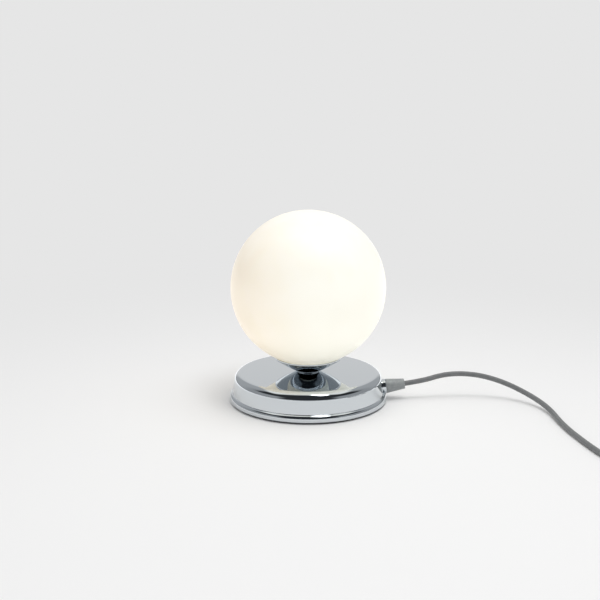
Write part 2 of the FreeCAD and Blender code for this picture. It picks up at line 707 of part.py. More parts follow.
def holder_cap():
    shoulder = HOLDER_Z + HOLDER_CAP_HEIGHT
    return revolve(
        (ROD_RADIUS + SCREW_CLEARANCE, HOLDER_Z),
        (HOLDER_CAP_RADIUS - 0.6, HOLDER_Z),
        (HOLDER_CAP_RADIUS, HOLDER_Z + 0.6),
        (HOLDER_CAP_RADIUS, shoulder),
        (HOLDER_SPIGOT_RADIUS, shoulder),
        (HOLDER_SPIGOT_RADIUS, CORE_BOTTOM),
        (HOLDER_CAVITY_RADIUS, CORE_BOTTOM),
        (HOLDER_CAVITY_RADIUS, HOLDER_Z + HOLDER_CAP_FLOOR),
        (ROD_RADIUS + SCREW_CLEARANCE, HOLDER_Z + HOLDER_CAP_FLOOR),
    )


def holder_core():
    core = rod(HOLDER_SPIGOT_RADIUS, CORE_BOTTOM, CORE_TOP)
    for x in (-TERMINAL_OFFSET, TERMINAL_OFFSET):
        high = CORE_BOTTOM + TERMINAL_SHANK_LENGTH + 0.5
        hole = rod(TERMINAL_SHANK_RADIUS + SCREW_CLEARANCE, CORE_BOTTOM - 1, high, x)
        core = core.cut(hole)
    return core


def holder_shell():
    low = HOLDER_Z + HOLDER_CAP_HEIGHT
    top = CORE_TOP + HOLDER_MOUTH_HEIGHT
    bore = HOLDER_SPIGOT_RADIUS + 0.1
    return revolve(
        (bore, low),
        (HOLDER_SHELL_RADIUS, low),
        (HOLDER_SHELL_RADIUS, low + 12),
        (HOLDER_SHELL_TOP_RADIUS, top - 1),
        (HOLDER_SHELL_TOP_RADIUS - 1, top),
        (HOLDER_MOUTH_RADIUS, top),
        (HOLDER_MOUTH_RADIUS, top - HOLDER_SHELL_WALL),
        (HOLDER_SHELL_TOP_RADIUS - HOLDER_SHELL_WALL, top - HOLDER_SHELL_WALL),
        (bore, CORE_TOP + 2),
    )


def screw_sleeve():
    return ring(SLEEVE_BORE + SLEEVE_WALL, SLEEVE_BORE, CORE_TOP, CORE_TOP + SLEEVE_HEIGHT)


def centre_contact():
    strip = block((-5, -2, CORE_TOP), (5, 2, CORE_TOP + 0.5))
    return strip.fuse(rod(2.0, CORE_TOP, CORE_TOP + CONTACT_HEIGHT))


def terminal_screws():
    screws = []
    for x in (-TERMINAL_OFFSET, TERMINAL_OFFSET):
        head = rod(TERMINAL_HEAD_RADIUS, TERMINAL_HEAD_BOTTOM, CORE_BOTTOM, x)
        shank = rod(TERMINAL_SHANK_RADIUS, CORE_BOTTOM, CORE_BOTTOM + TERMINAL_SHANK_LENGTH, x)
        screws.append(head.fuse(shank))
    return Part.makeCompound(screws)


# ---- bulb ---------------------------------------------------------------------------------------

def bulb_contact():
    return rod(BULB_TIP_RADIUS, BULB_TIP, BULB_TIP + BULB_TIP_HEIGHT)


def bulb_insulator():
    low = BULB_TIP + BULB_TIP_HEIGHT
    return revolve(
        (0.0, low),
        (BULB_TIP_RADIUS + 0.6, low),
        (BULB_CAP_BORE, BULB_CAP_BOTTOM),
        (BULB_CAP_BORE, BULB_CAP_BOTTOM + 1.5),
        (0.0, BULB_CAP_BOTTOM + 1.5),
    )


def bulb_cap():
    """The cap's rolled thread, drawn as rings."""
    bore = BULB_CAP_BORE + SCREW_CLEARANCE
    root = BULB_CAP_RADIUS - BULB_THREAD_DEPTH
    z = BULB_CAP_BOTTOM + 0.4
    steps = [(root, BULB_CAP_BOTTOM), (root, z)]
    for _ in range(BULB_THREAD_COUNT):
        crest = (BULB_CAP_RADIUS, z + BULB_THREAD_PITCH / 2)
        steps.append((crest, (root, z + BULB_THREAD_PITCH - 0.3)))
        z += BULB_THREAD_PITCH
        steps.append((root, z))
    steps += [(BULB_CAP_RADIUS, z + 1.2), (BULB_CAP_RADIUS, BULB_CAP_TOP), (bore, BULB_CAP_TOP)]
    return revolve((bore, BULB_CAP_BOTTOM), *steps)


def bulb_housing():
    outer = BULB_NECK_RADIUS
    return revolve(
        (BULB_CAP_BORE + SCREW_CLEARANCE, BULB_CAP_TOP),
        (BULB_CAP_RADIUS + 0.9, BULB_CAP_TOP),
        (BULB_CAP_RADIUS + 1.2, BULB_CAP_TOP + 2),
        ((outer - 2.0, (BULB_CAP_TOP + BULB_RIM_Z) / 2 + 1), (outer, BULB_RIM_Z)),
        (outer - BULB_NECK_WALL, BULB_RIM_Z),
        (outer - BULB_NECK_WALL, BULB_RIM_Z - BOARD_BELOW_RIM - BOARD_THICKNESS - 0.4),
        (BULB_CAP_BORE + SCREW_CLEARANCE, BULB_CAP_TOP + 4),
    )


def led_board():
    top = BULB_RIM_Z - BOARD_BELOW_RIM
    radius = BULB_NECK_RADIUS - BULB_NECK_WALL - BOARD_CLEARANCE
    return rod(radius, top - BOARD_THICKNESS, top)


def bulb_envelope():
    ball = Part.makeSphere(BULB_RADIUS, vec(0, 0, BULB_CENTRE_Z))
    ball = ball.cut(Part.makeSphere(BULB_RADIUS - BULB_WALL, vec(0, 0, BULB_CENTRE_Z)))
    return ball.cut(rod(BULB_RADIUS + 5, BULB_CENTRE_Z - BULB_RADIUS - 5, BULB_RIM_Z))


# ---- gland and wiring in the base ---------------------------------------------------------------

def gland_collar():
    collar = rod(GLAND_COLLAR_RADIUS, -3, GLAND_COLLAR_LENGTH)
    rim = [e for e in collar.Edges if e.BoundBox.ZMin > GLAND_COLLAR_LENGTH - 0.1]
    collar = along_gland(collar.makeFillet(0.8, rim)).cut(base_form(0.0))
    shank = along_gland(rod(GLAND_SHANK_RADIUS, -GLAND_SHANK_LENGTH, GLAND_COLLAR_LENGTH - 1))
    return collar.fuse(shank).cut(along_gland(rod(GLAND_BORE, -20, 20)))


def gland_nut():
    low = -GLAND_NUT_SETBACK - GLAND_NUT_HEIGHT
    nut = hexagon(NUT_FLATS, low, -GLAND_NUT_SETBACK)
    return along_gland(nut.cut(rod(GLAND_SHANK_RADIUS + SCREW_CLEARANCE, low - 1, 1)))


def cord_grip():
    """The soft tapered sleeve that stops the cord from kinking at the wall."""
    tip = GLAND_COLLAR_LENGTH + GRIP_LENGTH
    sleeve = revolve(
        (CORD_RADIUS + CORD_CLEARANCE, GLAND_COLLAR_LENGTH),
        (GRIP_ROOT_RADIUS, GLAND_COLLAR_LENGTH),
        (GRIP_TIP_RADIUS, tip - 0.5),
        (GRIP_TIP_RADIUS - 0.5, tip),
        (CORD_RADIUS + CORD_CLEARANCE, tip),
    )
    return along_gland(sleeve)


def cord_inlet():
    return along_gland(rod(CORD_RADIUS, -INLET_LENGTH, GLAND_COLLAR_LENGTH + GRIP_LENGTH))


def clamp_axis_z():
    """The cord's height where it passes the clamp."""
    start = gland_point(0)
    return start[2] - (start[0] - CLAMP_X) * math.tan(GLAND_TILT)


def cord_clamp():
    top = clamp_axis_z() + CORD_RADIUS + CLAMP_OVER_CORD
    saddle = block(
        (CLAMP_X - CLAMP_LENGTH / 2, -CLAMP_WIDTH / 2, POCKET_FLOOR),
        (CLAMP_X + CLAMP_LENGTH / 2, CLAMP_WIDTH / 2, top),
    )
    saddle = saddle.cut(along_gland(rod(CORD_RADIUS + CORD_CLEARANCE, -40, 5)))
    for y in (-CLAMP_SCREW_Y, CLAMP_SCREW_Y):
        saddle = saddle.cut(rod(SMALL_SCREW_RADIUS + SCREW_CLEARANCE, POCKET_FLOOR - 1, top + 1, CLAMP_X, y))
    return saddle


def clamp_screws():
    top = clamp_axis_z() + CORD_RADIUS + CLAMP_OVER_CORD
    screws = []
    for y in (-CLAMP_SCREW_Y, CLAMP_SCREW_Y):
        shank = rod(SMALL_SCREW_RADIUS, POCKET_FLOOR - SMALL_SCREW_DEPTH, top, CLAMP_X, y)
        head = rod(CLAMP_HEAD_RADIUS, top, top + CLAMP_HEAD_HEIGHT, CLAMP_X, y)
        slot = screw_slot(CLAMP_X, y, CLAMP_HEAD_RADIUS + 0.5, top + 1, top + 3)
        screws.append(shank.fuse(head).cut(slot))
    return Part.makeCompound(screws)


def pole_bore(radius, y, low, high):
    return Part.makeCylinder(radius, high - low, vec(low, y, POCKET_FLOOR + POLE_HEIGHT), vec(1, 0, 0))


def barrel_screw_places():
    return (BLOCK_X + BARREL_SCREW_INSET, BLOCK_X + BLOCK_LENGTH - BARREL_SCREW_INSET)


def terminal_block():
    body = block(
        (BLOCK_X, -BLOCK_WIDTH / 2, POCKET_FLOOR),
        (BLOCK_X + BLOCK_LENGTH, BLOCK_WIDTH / 2, POCKET_FLOOR + BLOCK_HEIGHT),
    )
    for y in (-POLE_Y, POLE_Y):
        radius = BARREL_RADIUS + SCREW_CLEARANCE
        body = body.cut(pole_bore(radius, y, BLOCK_X - 1, BLOCK_X + BLOCK_LENGTH + 1))
        for x in barrel_screw_places():
            body = body.cut(rod(BARREL_HEAD_RADIUS + SCREW_CLEARANCE, POCKET_FLOOR + POLE_HEIGHT, 40, x, y))
    return body.cut(rod(SMALL_SCREW_RADIUS + SCREW_CLEARANCE, 0, 40, BLOCK_X + BLOCK_LENGTH / 2))


def terminal_barrels():
    barrels = []
    for y in (-POLE_Y, POLE_Y):
        barrel = pole_bore(BARREL_RADIUS, y, BLOCK_X + 1, BLOCK_X + BLOCK_LENGTH - 1)
        barrel = barrel.cut(pole_bore(BARREL_BORE, y, BLOCK_X, BLOCK_X + BLOCK_LENGTH))
        for x in barrel_screw_places():
            radius = BARREL_SCREW_RADIUS + SCREW_CLEARANCE
            barrel = barrel.cut(rod(radius, POCKET_FLOOR + POLE_HEIGHT, 40, x, y))
        barrels.append(barrel)
    return Part.makeCompound(barrels)


def block_screws():
    """Four clamping screws on the wires and one that holds the block down."""
    low = POCKET_FLOOR + POLE_HEIGHT + WIRE_RADIUS
    neck = POCKET_FLOOR + POLE_HEIGHT + BARREL_RADIUS + 0.5
    top = POCKET_FLOOR + BLOCK_HEIGHT - 0.6
    screws = []
    for y in (-POLE_Y, POLE_Y):
        for x in barrel_screw_places():
            shank = rod(BARREL_SCREW_RADIUS, low, neck, x, y)
            screws.append(shank.fuse(rod(BARREL_HEAD_RADIUS, neck, top, x, y)))
    middle = BLOCK_X + BLOCK_LENGTH / 2
    over = POCKET_FLOOR + BLOCK_HEIGHT
    shank = rod(SMALL_SCREW_RADIUS, POCKET_FLOOR - SMALL_SCREW_DEPTH, over, middle)
    screws.append(shank.fuse(rod(BLOCK_HEAD_RADIUS, over, over + BLOCK_HEAD_HEIGHT, middle)))
    return Part.makeCompound(screws)


def supply_wire(name, side):
    """A core of the mains cord, from the end of its sheath to the terminal block."""
    start = gland_point(-INLET_LENGTH)
    pole = POCKET_FLOOR + POLE_HEIGHT
    end_x = BLOCK_X + BLOCK_LENGTH - 5
    ahead = gland_point(-INLET_LENGTH - 1.5)
    return tube(
        name,
        [
            (start[0], side * WIRE_SPACING, start[2]),
            (ahead[0], side * WIRE_SPACING, ahead[2]),
            (BLOCK_X + BLOCK_LENGTH + 1.6, side * POLE_Y, pole),
            (end_x, side * POLE_Y, pole),
        ],
        WIRE_RADIUS,
    )


def inner_wire(name, side):
    """A wire from the terminal block, through the rod's window, up the rod to the lampholder."""
    pole = POCKET_FLOOR + POLE_HEIGHT
    end_z = TERMINAL_HEAD_BOTTOM - WIRE_RADIUS
    return tube(
        name,
        [
            (BLOCK_X + 5, side * POLE_Y, pole),
            (BLOCK_X - 3, side * POLE_Y, pole),
            (11.0, side * WIRE_SPACING, pole + 4.5),
            (0.0, side * WIRE_SPACING, pole + 8.0),
            (0.0, side * WIRE_SPACING, end_z),
            (side * TERMINAL_OFFSET, side * 0.4, end_z),
        ],
        WIRE_RADIUS,
    )


# ---- free cord, switch, coil and plug -----------------------------------------------------------

def cord_run():
    tip = gland_point(GLAND_COLLAR_LENGTH + GRIP_LENGTH)
    end = (SWITCH_START[0] + CORD_IN_SWITCH, SWITCH_START[1], SWITCH_AXIS_Z)
    ahead = gland_point(GLAND_COLLAR_LENGTH + GRIP_LENGTH + FIRST_RUN)
    return tube("cord_run", [tip, ahead] + CORD_ROUTE + [end], CORD_RADIUS)


def stadium(inset, low, high):
    """The switch's plan form: a rectangle with large round corners."""
    x0 = SWITCH_START[0] + inset
    x1 = SWITCH_END_X - inset
    y0 = SWITCH_START[1] - SWITCH_WIDTH / 2 + inset
    y1 = SWITCH_START[1] + SWITCH_WIDTH / 2 - inset
    body = block((x0, y0, low), (x1, y1, high))
    upright = [e for e in body.Edges if e.BoundBox.ZLength > (high - low) * 0.9]
    return body.makeFillet(SWITCH_CORNER - inset, upright)


def switch_middle():
    return SWITCH_START[0] + SWITCH_LENGTH / 2


def cord_holes():
    holes = []
    for x in (SWITCH_START[0] - 1, SWITCH_END_X - SWITCH_WALL - 1):
        centre = vec(x, SWITCH_START[1], SWITCH_AXIS_Z)
        holes.append(Part.makeCylinder(CORD_RADIUS + CORD_CLEARANCE, SWITCH_WALL + 2, centre, vec(1, 0, 0)))
    return holes


def switch_screw_places():
    reach_x = SWITCH_LENGTH / 2 - SWITCH_CORNER
    reach_y = SWITCH_WIDTH / 2 - SWITCH_WALL - SWITCH_BOSS_INSET
    return [(switch_middle() + s * reach_x, SWITCH_START[1] + s * reach_y) for s in (-1, 1)]


def switch_lower():
    shell = stadium(0.0, 0.0, SWITCH_SPLIT)
    foot = [e for e in shell.Edges if e.BoundBox.ZMax < 0.1]
    shell = shell.makeFillet(SWITCH_FOOT_ROUND, foot)
    shell = shell.cut(stadium(SWITCH_WALL, SWITCH_WALL, SWITCH_SPLIT + 1))
    for hole in cord_holes():
        shell = shell.cut(hole)
    for x, y in switch_screw_places():
        shell = shell.fuse(rod(SWITCH_BOSS_RADIUS, SWITCH_WALL - 0.5, SWITCH_SPLIT, x, y))
        shell = shell.cut(rod(SMALL_SCREW_RADIUS + SCREW_CLEARANCE, -1, SWITCH_SPLIT + 1, x, y))
        shell = shell.cut(rod(SWITCH_HEAD_RADIUS + SCREW_CLEARANCE, -1, SWITCH_HEAD_SEAT, x, y))
    return shell


def switch_screws():
    screws = []
    for x, y in switch_screw_places():
        head = rod(SWITCH_HEAD_RADIUS, 0.2, SWITCH_HEAD_SEAT, x, y)
        shank = rod(SMALL_SCREW_RADIUS, SWITCH_HEAD_SEAT, SWITCH_SPLIT + SWITCH_SCREW_REACH, x, y)
        slot = screw_slot(x, y, SWITCH_HEAD_RADIUS + 0.1, 0, 0.7)
        screws.append(head.fuse(shank).cut(slot))
    return Part.makeCompound(screws)


def switch_upper():
    shell = stadium(0.0, SWITCH_SPLIT, SWITCH_HEIGHT)
    crown = [e for e in shell.Edges if e.BoundBox.ZMin > SWITCH_HEIGHT - 0.1]
    shell = shell.makeFillet(SWITCH_EDGE_ROUND, crown)
    shell = shell.cut(stadium(SWITCH_WALL, SWITCH_SPLIT - 1, SWITCH_HEIGHT - SWITCH_WALL))
    half_length = ROCKER_LENGTH / 2 + ROCKER_GAP
    half_width = ROCKER_WIDTH / 2 + ROCKER_GAP / 2
    middle = switch_middle()
    y = SWITCH_START[1]
    for side in (-1, 1):
        ear_low = y + side * half_width
        ear_high = y + side * (half_width + PIN_BOSS_WIDTH)
        ear = block(
            (middle - 3, min(ear_low, ear_high), SWITCH_SPLIT + 0.5),
            (middle + 3, max(ear_low, ear_high), SWITCH_HEIGHT - 1),
        )
        shell = shell.fuse(ear)
    for x, screw_y in switch_screw_places():
        shell = shell.fuse(rod(SWITCH_BOSS_RADIUS, SWITCH_SPLIT, SWITCH_HEIGHT - 1, x, screw_y))
        hole_top = SWITCH_SPLIT + SWITCH_SCREW_REACH + 0.5
        shell = shell.cut(rod(SMALL_SCREW_RADIUS + SCREW_CLEARANCE, SWITCH_SPLIT - 1, hole_top, x, screw_y))
    window = block(
        (middle - half_length, y - half_width, SWITCH_HEIGHT - 5),
        (middle + half_length, y + half_width, 30),
    )
    shell = shell.cut(window)
    for hole in cord_holes():
        shell = shell.cut(hole)
    pin_start = vec(middle, y - 9, ROCKER_PIVOT_Z)
    pin = Part.makeCylinder(ROCKER_PIN_RADIUS + SCREW_CLEARANCE, 18, pin_start, vec(0, 1, 0))
    return shell.cut(pin)


def rocker_pin():
    reach = ROCKER_WIDTH / 2 + ROCKER_GAP / 2 + PIN_BOSS_WIDTH
    start = vec(switch_middle(), SWITCH_START[1] - reach, ROCKER_PIVOT_Z)
    return Part.makeCylinder(ROCKER_PIN_RADIUS, 2 * reach, start, vec(0, 1, 0))


def switch_rocker():
    """A shallow V on top, built level and then tipped to its stop."""
    half = ROCKER_LENGTH / 2
    y = SWITCH_START[1] - ROCKER_WIDTH / 2
    outline = [
        (-half, ROCKER_RISE),
        (-half, 0.6),
        (-half + 3, -ROCKER_DROP),
        (half - 3, -ROCKER_DROP),
        (half, 0.6),
        (half, ROCKER_RISE),
        (0.0, ROCKER_RISE - 0.9),
    ]
    middle = switch_middle()
    points = [vec(middle + x, y, ROCKER_PIVOT_Z + z) for x, z in outline]
    rocker = Part.Face(Part.makePolygon(points + [points[0]])).extrude(vec(0, ROCKER_WIDTH, 0))
    crest = [e for e in rocker.Edges if e.BoundBox.ZMin > ROCKER_PIVOT_Z + ROCKER_RISE - 0.1]
    rocker = rocker.makeFillet(0.7, crest)
    bore = Part.makeCylinder(
        ROCKER_PIN_RADIUS + PIVOT_CLEARANCE, 20, vec(middle, y - 5, ROCKER_PIVOT_Z), vec(0, 1, 0)
    )
    rocker = rocker.cut(bore)
    rocker.rotate(vec(middle, y, ROCKER_PIVOT_Z), vec(0, 1, 0), ROCKER_TILT)
    return rocker


def switch_contacts():
    """Two brass strips on the switch's floor, one to each side of the gap that the rocker bridges."""
    strips = []
    middle = switch_middle()
    y = SWITCH_START[1]
    for side in (-1, 1):
        inner = middle + side * 2.0
        outer = middle + side * 16.0
        foot = block((min(inner, outer), y - 2, SWITCH_WALL), (max(inner, outer), y + 2, SWITCH_WALL + 0.8))
        tongue_x = middle + side * 5.0
        tongue = block((tongue_x - 0.4, y - 2, SWITCH_WALL), (tongue_x + 0.4, y + 2, SWITCH_WALL + 5.0))
        strips.append(foot.fuse(tongue))
    return Part.makeCompound(strips)


def level_link(name, start, end):
    """A short cord between two level ends at different heights."""
    run = (end[0] - start[0]) / 3
    return tube(
        name,
        [start, (start[0] + run, start[1], start[2]), (end[0] - run, end[1], end[2]), end],
        CORD_RADIUS,
    )


def cord_link():
    start = (SWITCH_END_X - CORD_IN_SWITCH, SWITCH_START[1], SWITCH_AXIS_Z)
    end = (SWITCH_END_X + COIL_LEAD, SWITCH_START[1], COIL_LOWEST_Z)
    return level_link("cord_link", start, end)


def coil_half_turns():
    """Each half turn as (start y, end y, start z, end z), from the outside in, up, and out again."""
    turns = []
    y = SWITCH_START[1]
    z = COIL_LOWEST_Z
    total = 2 * COIL_HALF_TURNS_IN + 1
    for i in range(total):
        from_reversal = abs(i - COIL_HALF_TURNS_IN)
        radius = COIL_RADIUS - (COIL_HALF_TURNS_IN - from_reversal) * COIL_PITCH / 2
        side = 1 if i % 2 == 0 else -1
        next_y = y + side * 2 * radius
        next_z = z + (COIL_LAYER if i == COIL_HALF_TURNS_IN else 0.0)
        turns.append((y, next_y, z, next_z))
        y = next_y
        z = next_z
    return turns


def coil_end():
    """Where the coil's straight outer end stops, on the top layer."""
    last = coil_half_turns()[-1]
    return (COIL_CENTRE_X - COIL_END_STRAIGHT, last[1], last[3])


def cord_coil():
    x = COIL_CENTRE_X
    turns = coil_half_turns()
    first = vec(x - COIL_END_STRAIGHT, turns[0][0], turns[0][2])
    edges = [Part.LineSegment(first, vec(x, turns[0][0], turns[0][2])).toShape()]
    for y0, y1, z0, z1 in turns:
        start = vec(x, y0, z0)
        end = vec(x, y1, z1)
        outward = 1 if y1 > y0 else -1
        middle = (start + end) * 0.5 + vec(outward * start.distanceToPoint(end) / 2, 0, 0)
        edges.append(Part.Arc(start, middle, end).toShape())
    edges.append(Part.LineSegment(vec(x, turns[-1][1], turns[-1][3]), vec(*coil_end())).toShape())
    path = Part.Wire(edges)
    solid = sweep(path, CORD_RADIUS, first, vec(1, 0, 0))
    share = solid.Volume / (math.pi * CORD_RADIUS**2 * path.Length)
    print(f"cord_coil: length {path.Length:.1f}, volume over section times length {share:.4f}")
    print(f"cord_coil: least gap to itself {self_gap(path):.2f}")
    return solid


def self_gap(path):
    """The least gap between turns, measured on points 3 mm apart that are half a turn or more apart."""
    count = int(path.Length / 3.0)
    points = path.discretize(Number=count)
    skip = int(50.0 / 3.0)
    least = min(points[i].distanceToPoint(q) for i in range(count) for q in points[i + skip:])
    return least - 2 * CORD_RADIUS


def coil_tie():
    """A band round the turns, on the side away from the climb."""
    least_turn = COIL_RADIUS - COIL_PITCH * (COIL_HALF_TURNS_IN - 1) / 2
    largest_turn = COIL_RADIUS - COIL_PITCH / 2
    inner = COIL_CENTRE_X - (least_turn - CORD_RADIUS - TIE_INNER_SLACK)
    outer = COIL_CENTRE_X - (largest_turn + CORD_RADIUS + TIE_CLEARANCE)
    low = COIL_LOWEST_Z - CORD_RADIUS - TIE_CLEARANCE
    high = COIL_LOWEST_Z + COIL_LAYER + CORD_RADIUS + TIE_CLEARANCE
    y = (SWITCH_START[1] + coil_end()[1]) / 2
    t = TIE_THICKNESS
    band = block((outer - t, y - TIE_WIDTH / 2, low - TIE_UNDER), (inner + t, y + TIE_WIDTH / 2, high + t))
    corners = [e for e in band.Edges if e.BoundBox.YLength > TIE_WIDTH * 0.9]
    band = band.makeFillet(TIE_ROUND, corners)
    return band.cut(block((outer, y - TIE_WIDTH, low), (inner, y + TIE_WIDTH, high)))


def plug_route():
    """From the coil's end round to +Y in even steps, sinking to the plug's axis."""
    x, y, z = coil_end()
    points = [(x, y, z)]
    for i in range(PLUG_TURNS + 1):
        heading = math.pi - math.pi / 2 * i / PLUG_TURNS
        x += PLUG_RUN * math.cos(heading)
        y += PLUG_RUN * math.sin(heading)
        sunk = min(i / (PLUG_TURNS - 1), 1.0)
        points.append((x, y, z + (PLUG_AXIS_Z - z) * sunk))
    return points


def plug_place(beyond=0.0):
    """A point on the plug's axis, that far past the end of its sleeve."""
    end = plug_route()[-1]
    return vec(end[0], end[1] - PLUG_CORD_DEPTH + beyond, end[2])


def plug_link():
    return tube("plug_link", plug_route(), CORD_RADIUS)


def plug_relief():
    """A tapered, ringed sleeve moulded on the cord."""
    pitch = PLUG_RELIEF_LENGTH / PLUG_RELIEF_RINGS
    land = PLUG_RING_SHARE * pitch
    taper = (PLUG_RELIEF_RADIUS - PLUG_RELIEF_TIP_RADIUS) / PLUG_RELIEF_RINGS
    steps = []
    for i in range(PLUG_RELIEF_RINGS):
        radius = PLUG_RELIEF_TIP_RADIUS + taper * (i + 1)
        steps += [(radius, pitch * i), (radius, pitch * i + land)]
        if i < PLUG_RELIEF_RINGS - 1:
            low = radius - PLUG_RING_DEPTH
            steps += [(low, pitch * i + land), (low, pitch * (i + 1))]
    steps += [(PLUG_RELIEF_RADIUS, PLUG_RELIEF_LENGTH), (0.0, PLUG_RELIEF_LENGTH), (0.0, PLUG_CORD_DEPTH)]
    bore = CORD_RADIUS + CORD_CLEARANCE
    sleeve = revolve((bore, PLUG_CORD_DEPTH), (bore, 0.0), *steps)
    sleeve.rotate(vec(0, 0, 0), vec(1, 0, 0), -90)
    sleeve.translate(plug_place())
    return sleeve


def plug_body():
    x, neck_y, _ = plug_place(PLUG_RELIEF_LENGTH)
    face_y = neck_y + PLUG_LENGTH
    half = PLUG_WIDTH / 2
    face = half - PLUG_FACE_TAPER
    neck = PLUG_NECK_WIDTH / 2
    outline = [
        (x - neck, neck_y),
        (x - half, neck_y + PLUG_SHOULDER),
        (x - face, face_y),
        (x + face, face_y),
        (x + half, neck_y + PLUG_SHOULDER),
        (x + neck, neck_y),
    ]
    points = [vec(px, py, 0) for px, py in outline]
    body = Part.Face(Part.makePolygon(points + [points[0]])).extrude(vec(0, 0, PLUG_THICKNESS))
    upright = [e for e in body.Edges if e.BoundBox.ZLength > PLUG_THICKNESS * 0.9]
    body = body.makeFillet(PLUG_CORNER_ROUND, [e for e in upright if e.BoundBox.YMin > neck_y + 1])
    flat = [e for e in body.Edges if e.BoundBox.ZLength < 0.1]
    flat = [e for e in flat if e.BoundBox.YMin > neck_y + 0.1 or e.BoundBox.YLength > 1]
    body = body.makeFillet(PLUG_EDGE_ROUND, flat)
    for side in (-1, 1):
        body = body.cut(pin_at(side, PIN_CORE_RADIUS + SCREW_CLEARANCE, -PIN_IN_BODY, 1))
    return body


def pin_at(side, radius, near, far):
    """A rod on a pin's axis, between two distances out from the plug's face."""
    start = plug_place(PLUG_RELIEF_LENGTH + PLUG_LENGTH + near) + vec(side * PIN_SPACING / 2, 0, 0)
    return Part.makeCylinder(radius, far - near, start, vec(0, 1, 0))


def plug_pins():
    pins = []
    for side in (-1, 1):
        core = pin_at(side, PIN_CORE_RADIUS, -PIN_IN_BODY, PIN_SLEEVE_LENGTH)
        tip = pin_at(side, PIN_RADIUS, PIN_SLEEVE_LENGTH, PIN_LENGTH)
        end = [e for e in tip.Edges if e.BoundBox.YMin > tip.BoundBox.YMax - 0.1]
        pins.append(core.fuse(tip.makeFillet(PIN_END_ROUND, end)))
    return Part.makeCompound(pins)


def pin_sleeves():
    sleeves = []
    for side in (-1, 1):
        sleeve = pin_at(side, PIN_RADIUS, 0, PIN_SLEEVE_LENGTH)
        bore = PIN_CORE_RADIUS + PIN_SLEEVE_CLEARANCE
        sleeves.append(sleeve.cut(pin_at(side, bore, -1, PIN_SLEEVE_LENGTH + 1)))
    return Part.makeCompound(sleeves)


# ---- every node ---------------------------------------------------------------------------------

PIECES = [
    base_shell, foot_pad, bottom_cover, cover_screws, base_weight,
    threaded_rod, rod_nuts, rod_washer, spacer_tube, stem_collar,
    shade_cup, shade_gasket, clip_plate, shade_springs, clip_rivets, globe_shade,
    holder_cap, holder_core, holder_shell, screw_sleeve, centre_contact, terminal_screws,
    bulb_contact, bulb_insulator, bulb_cap, bulb_housing, led_board, bulb_envelope,
    gland_collar, gland_nut, cord_grip, cord_inlet, cord_clamp, clamp_screws,
    terminal_block, terminal_barrels, block_screws,
    cord_run, switch_lower, switch_upper, switch_screws, switch_rocker, rocker_pin, switch_contacts,
    cord_link, cord_coil, coil_tie, plug_link, plug_relief, plug_body, plug_pins, pin_sleeves,
]

nodes = {piece.__name__: piece() for piece in PIECES}
for wire_name, wire_side in (("live", 1), ("neutral", -1)):
    nodes[f"supply_wire_{wire_name}"] = supply_wire(f"supply_wire_{wire_name}", wire_side)
    nodes[f"inner_wire_{wire_name}"] = inner_wire(f"inner_wire_{wire_name}", wire_side)

os.makedirs("parts", exist_ok=True)
for name, shape in nodes.items():
    if not shape.isValid():
        raise ValueError(f"{name} isn't a valid solid")
    shape.exportStep(f"parts/{name}.step")
print(f"{len(nodes)} nodes")
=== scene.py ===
"""Glass globe table lamp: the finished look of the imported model.

Sizes are millimetres in outlines and metres in the scene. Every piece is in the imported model's own frame.
"""

import bmesh
import bpy
import json
import math
from bpy.props import FloatProperty, FloatVectorProperty, IntProperty, PointerProperty
from mathutils import Matrix, Vector


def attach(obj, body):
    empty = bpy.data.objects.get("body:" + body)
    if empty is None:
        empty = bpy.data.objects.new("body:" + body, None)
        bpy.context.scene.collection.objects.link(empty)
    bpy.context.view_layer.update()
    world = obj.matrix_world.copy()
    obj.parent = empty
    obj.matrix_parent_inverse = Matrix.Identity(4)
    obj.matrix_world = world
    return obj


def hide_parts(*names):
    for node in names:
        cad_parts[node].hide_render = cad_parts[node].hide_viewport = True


bl_info = {
    "name": "Glass Globe Table Lamp",
    "version": (1, 0, 0),
    "blender": (4, 5, 0),
    "location": "View3D > Sidebar > Globe Lamp",
    "description": "Makes the pieces, finishes and studio of a chrome and opal glass table lamp",
    "category": "Add Mesh",
}

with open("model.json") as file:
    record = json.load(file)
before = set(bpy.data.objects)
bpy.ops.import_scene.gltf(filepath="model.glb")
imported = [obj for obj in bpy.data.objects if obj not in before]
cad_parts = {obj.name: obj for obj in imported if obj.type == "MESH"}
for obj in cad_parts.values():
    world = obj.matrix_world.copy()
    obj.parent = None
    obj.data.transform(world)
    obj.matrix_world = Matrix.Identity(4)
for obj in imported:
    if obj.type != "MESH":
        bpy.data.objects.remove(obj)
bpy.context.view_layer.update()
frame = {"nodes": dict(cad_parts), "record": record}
NODES = frame["nodes"]

MM = 0.001
SHARP_ANGLE = math.radians(38.0)   # corners past this stay sharp
NOISE_SPAN = (0.3, 0.7)            # where most of a noise texture's values lie
CORD_DIAMETER = 0.005

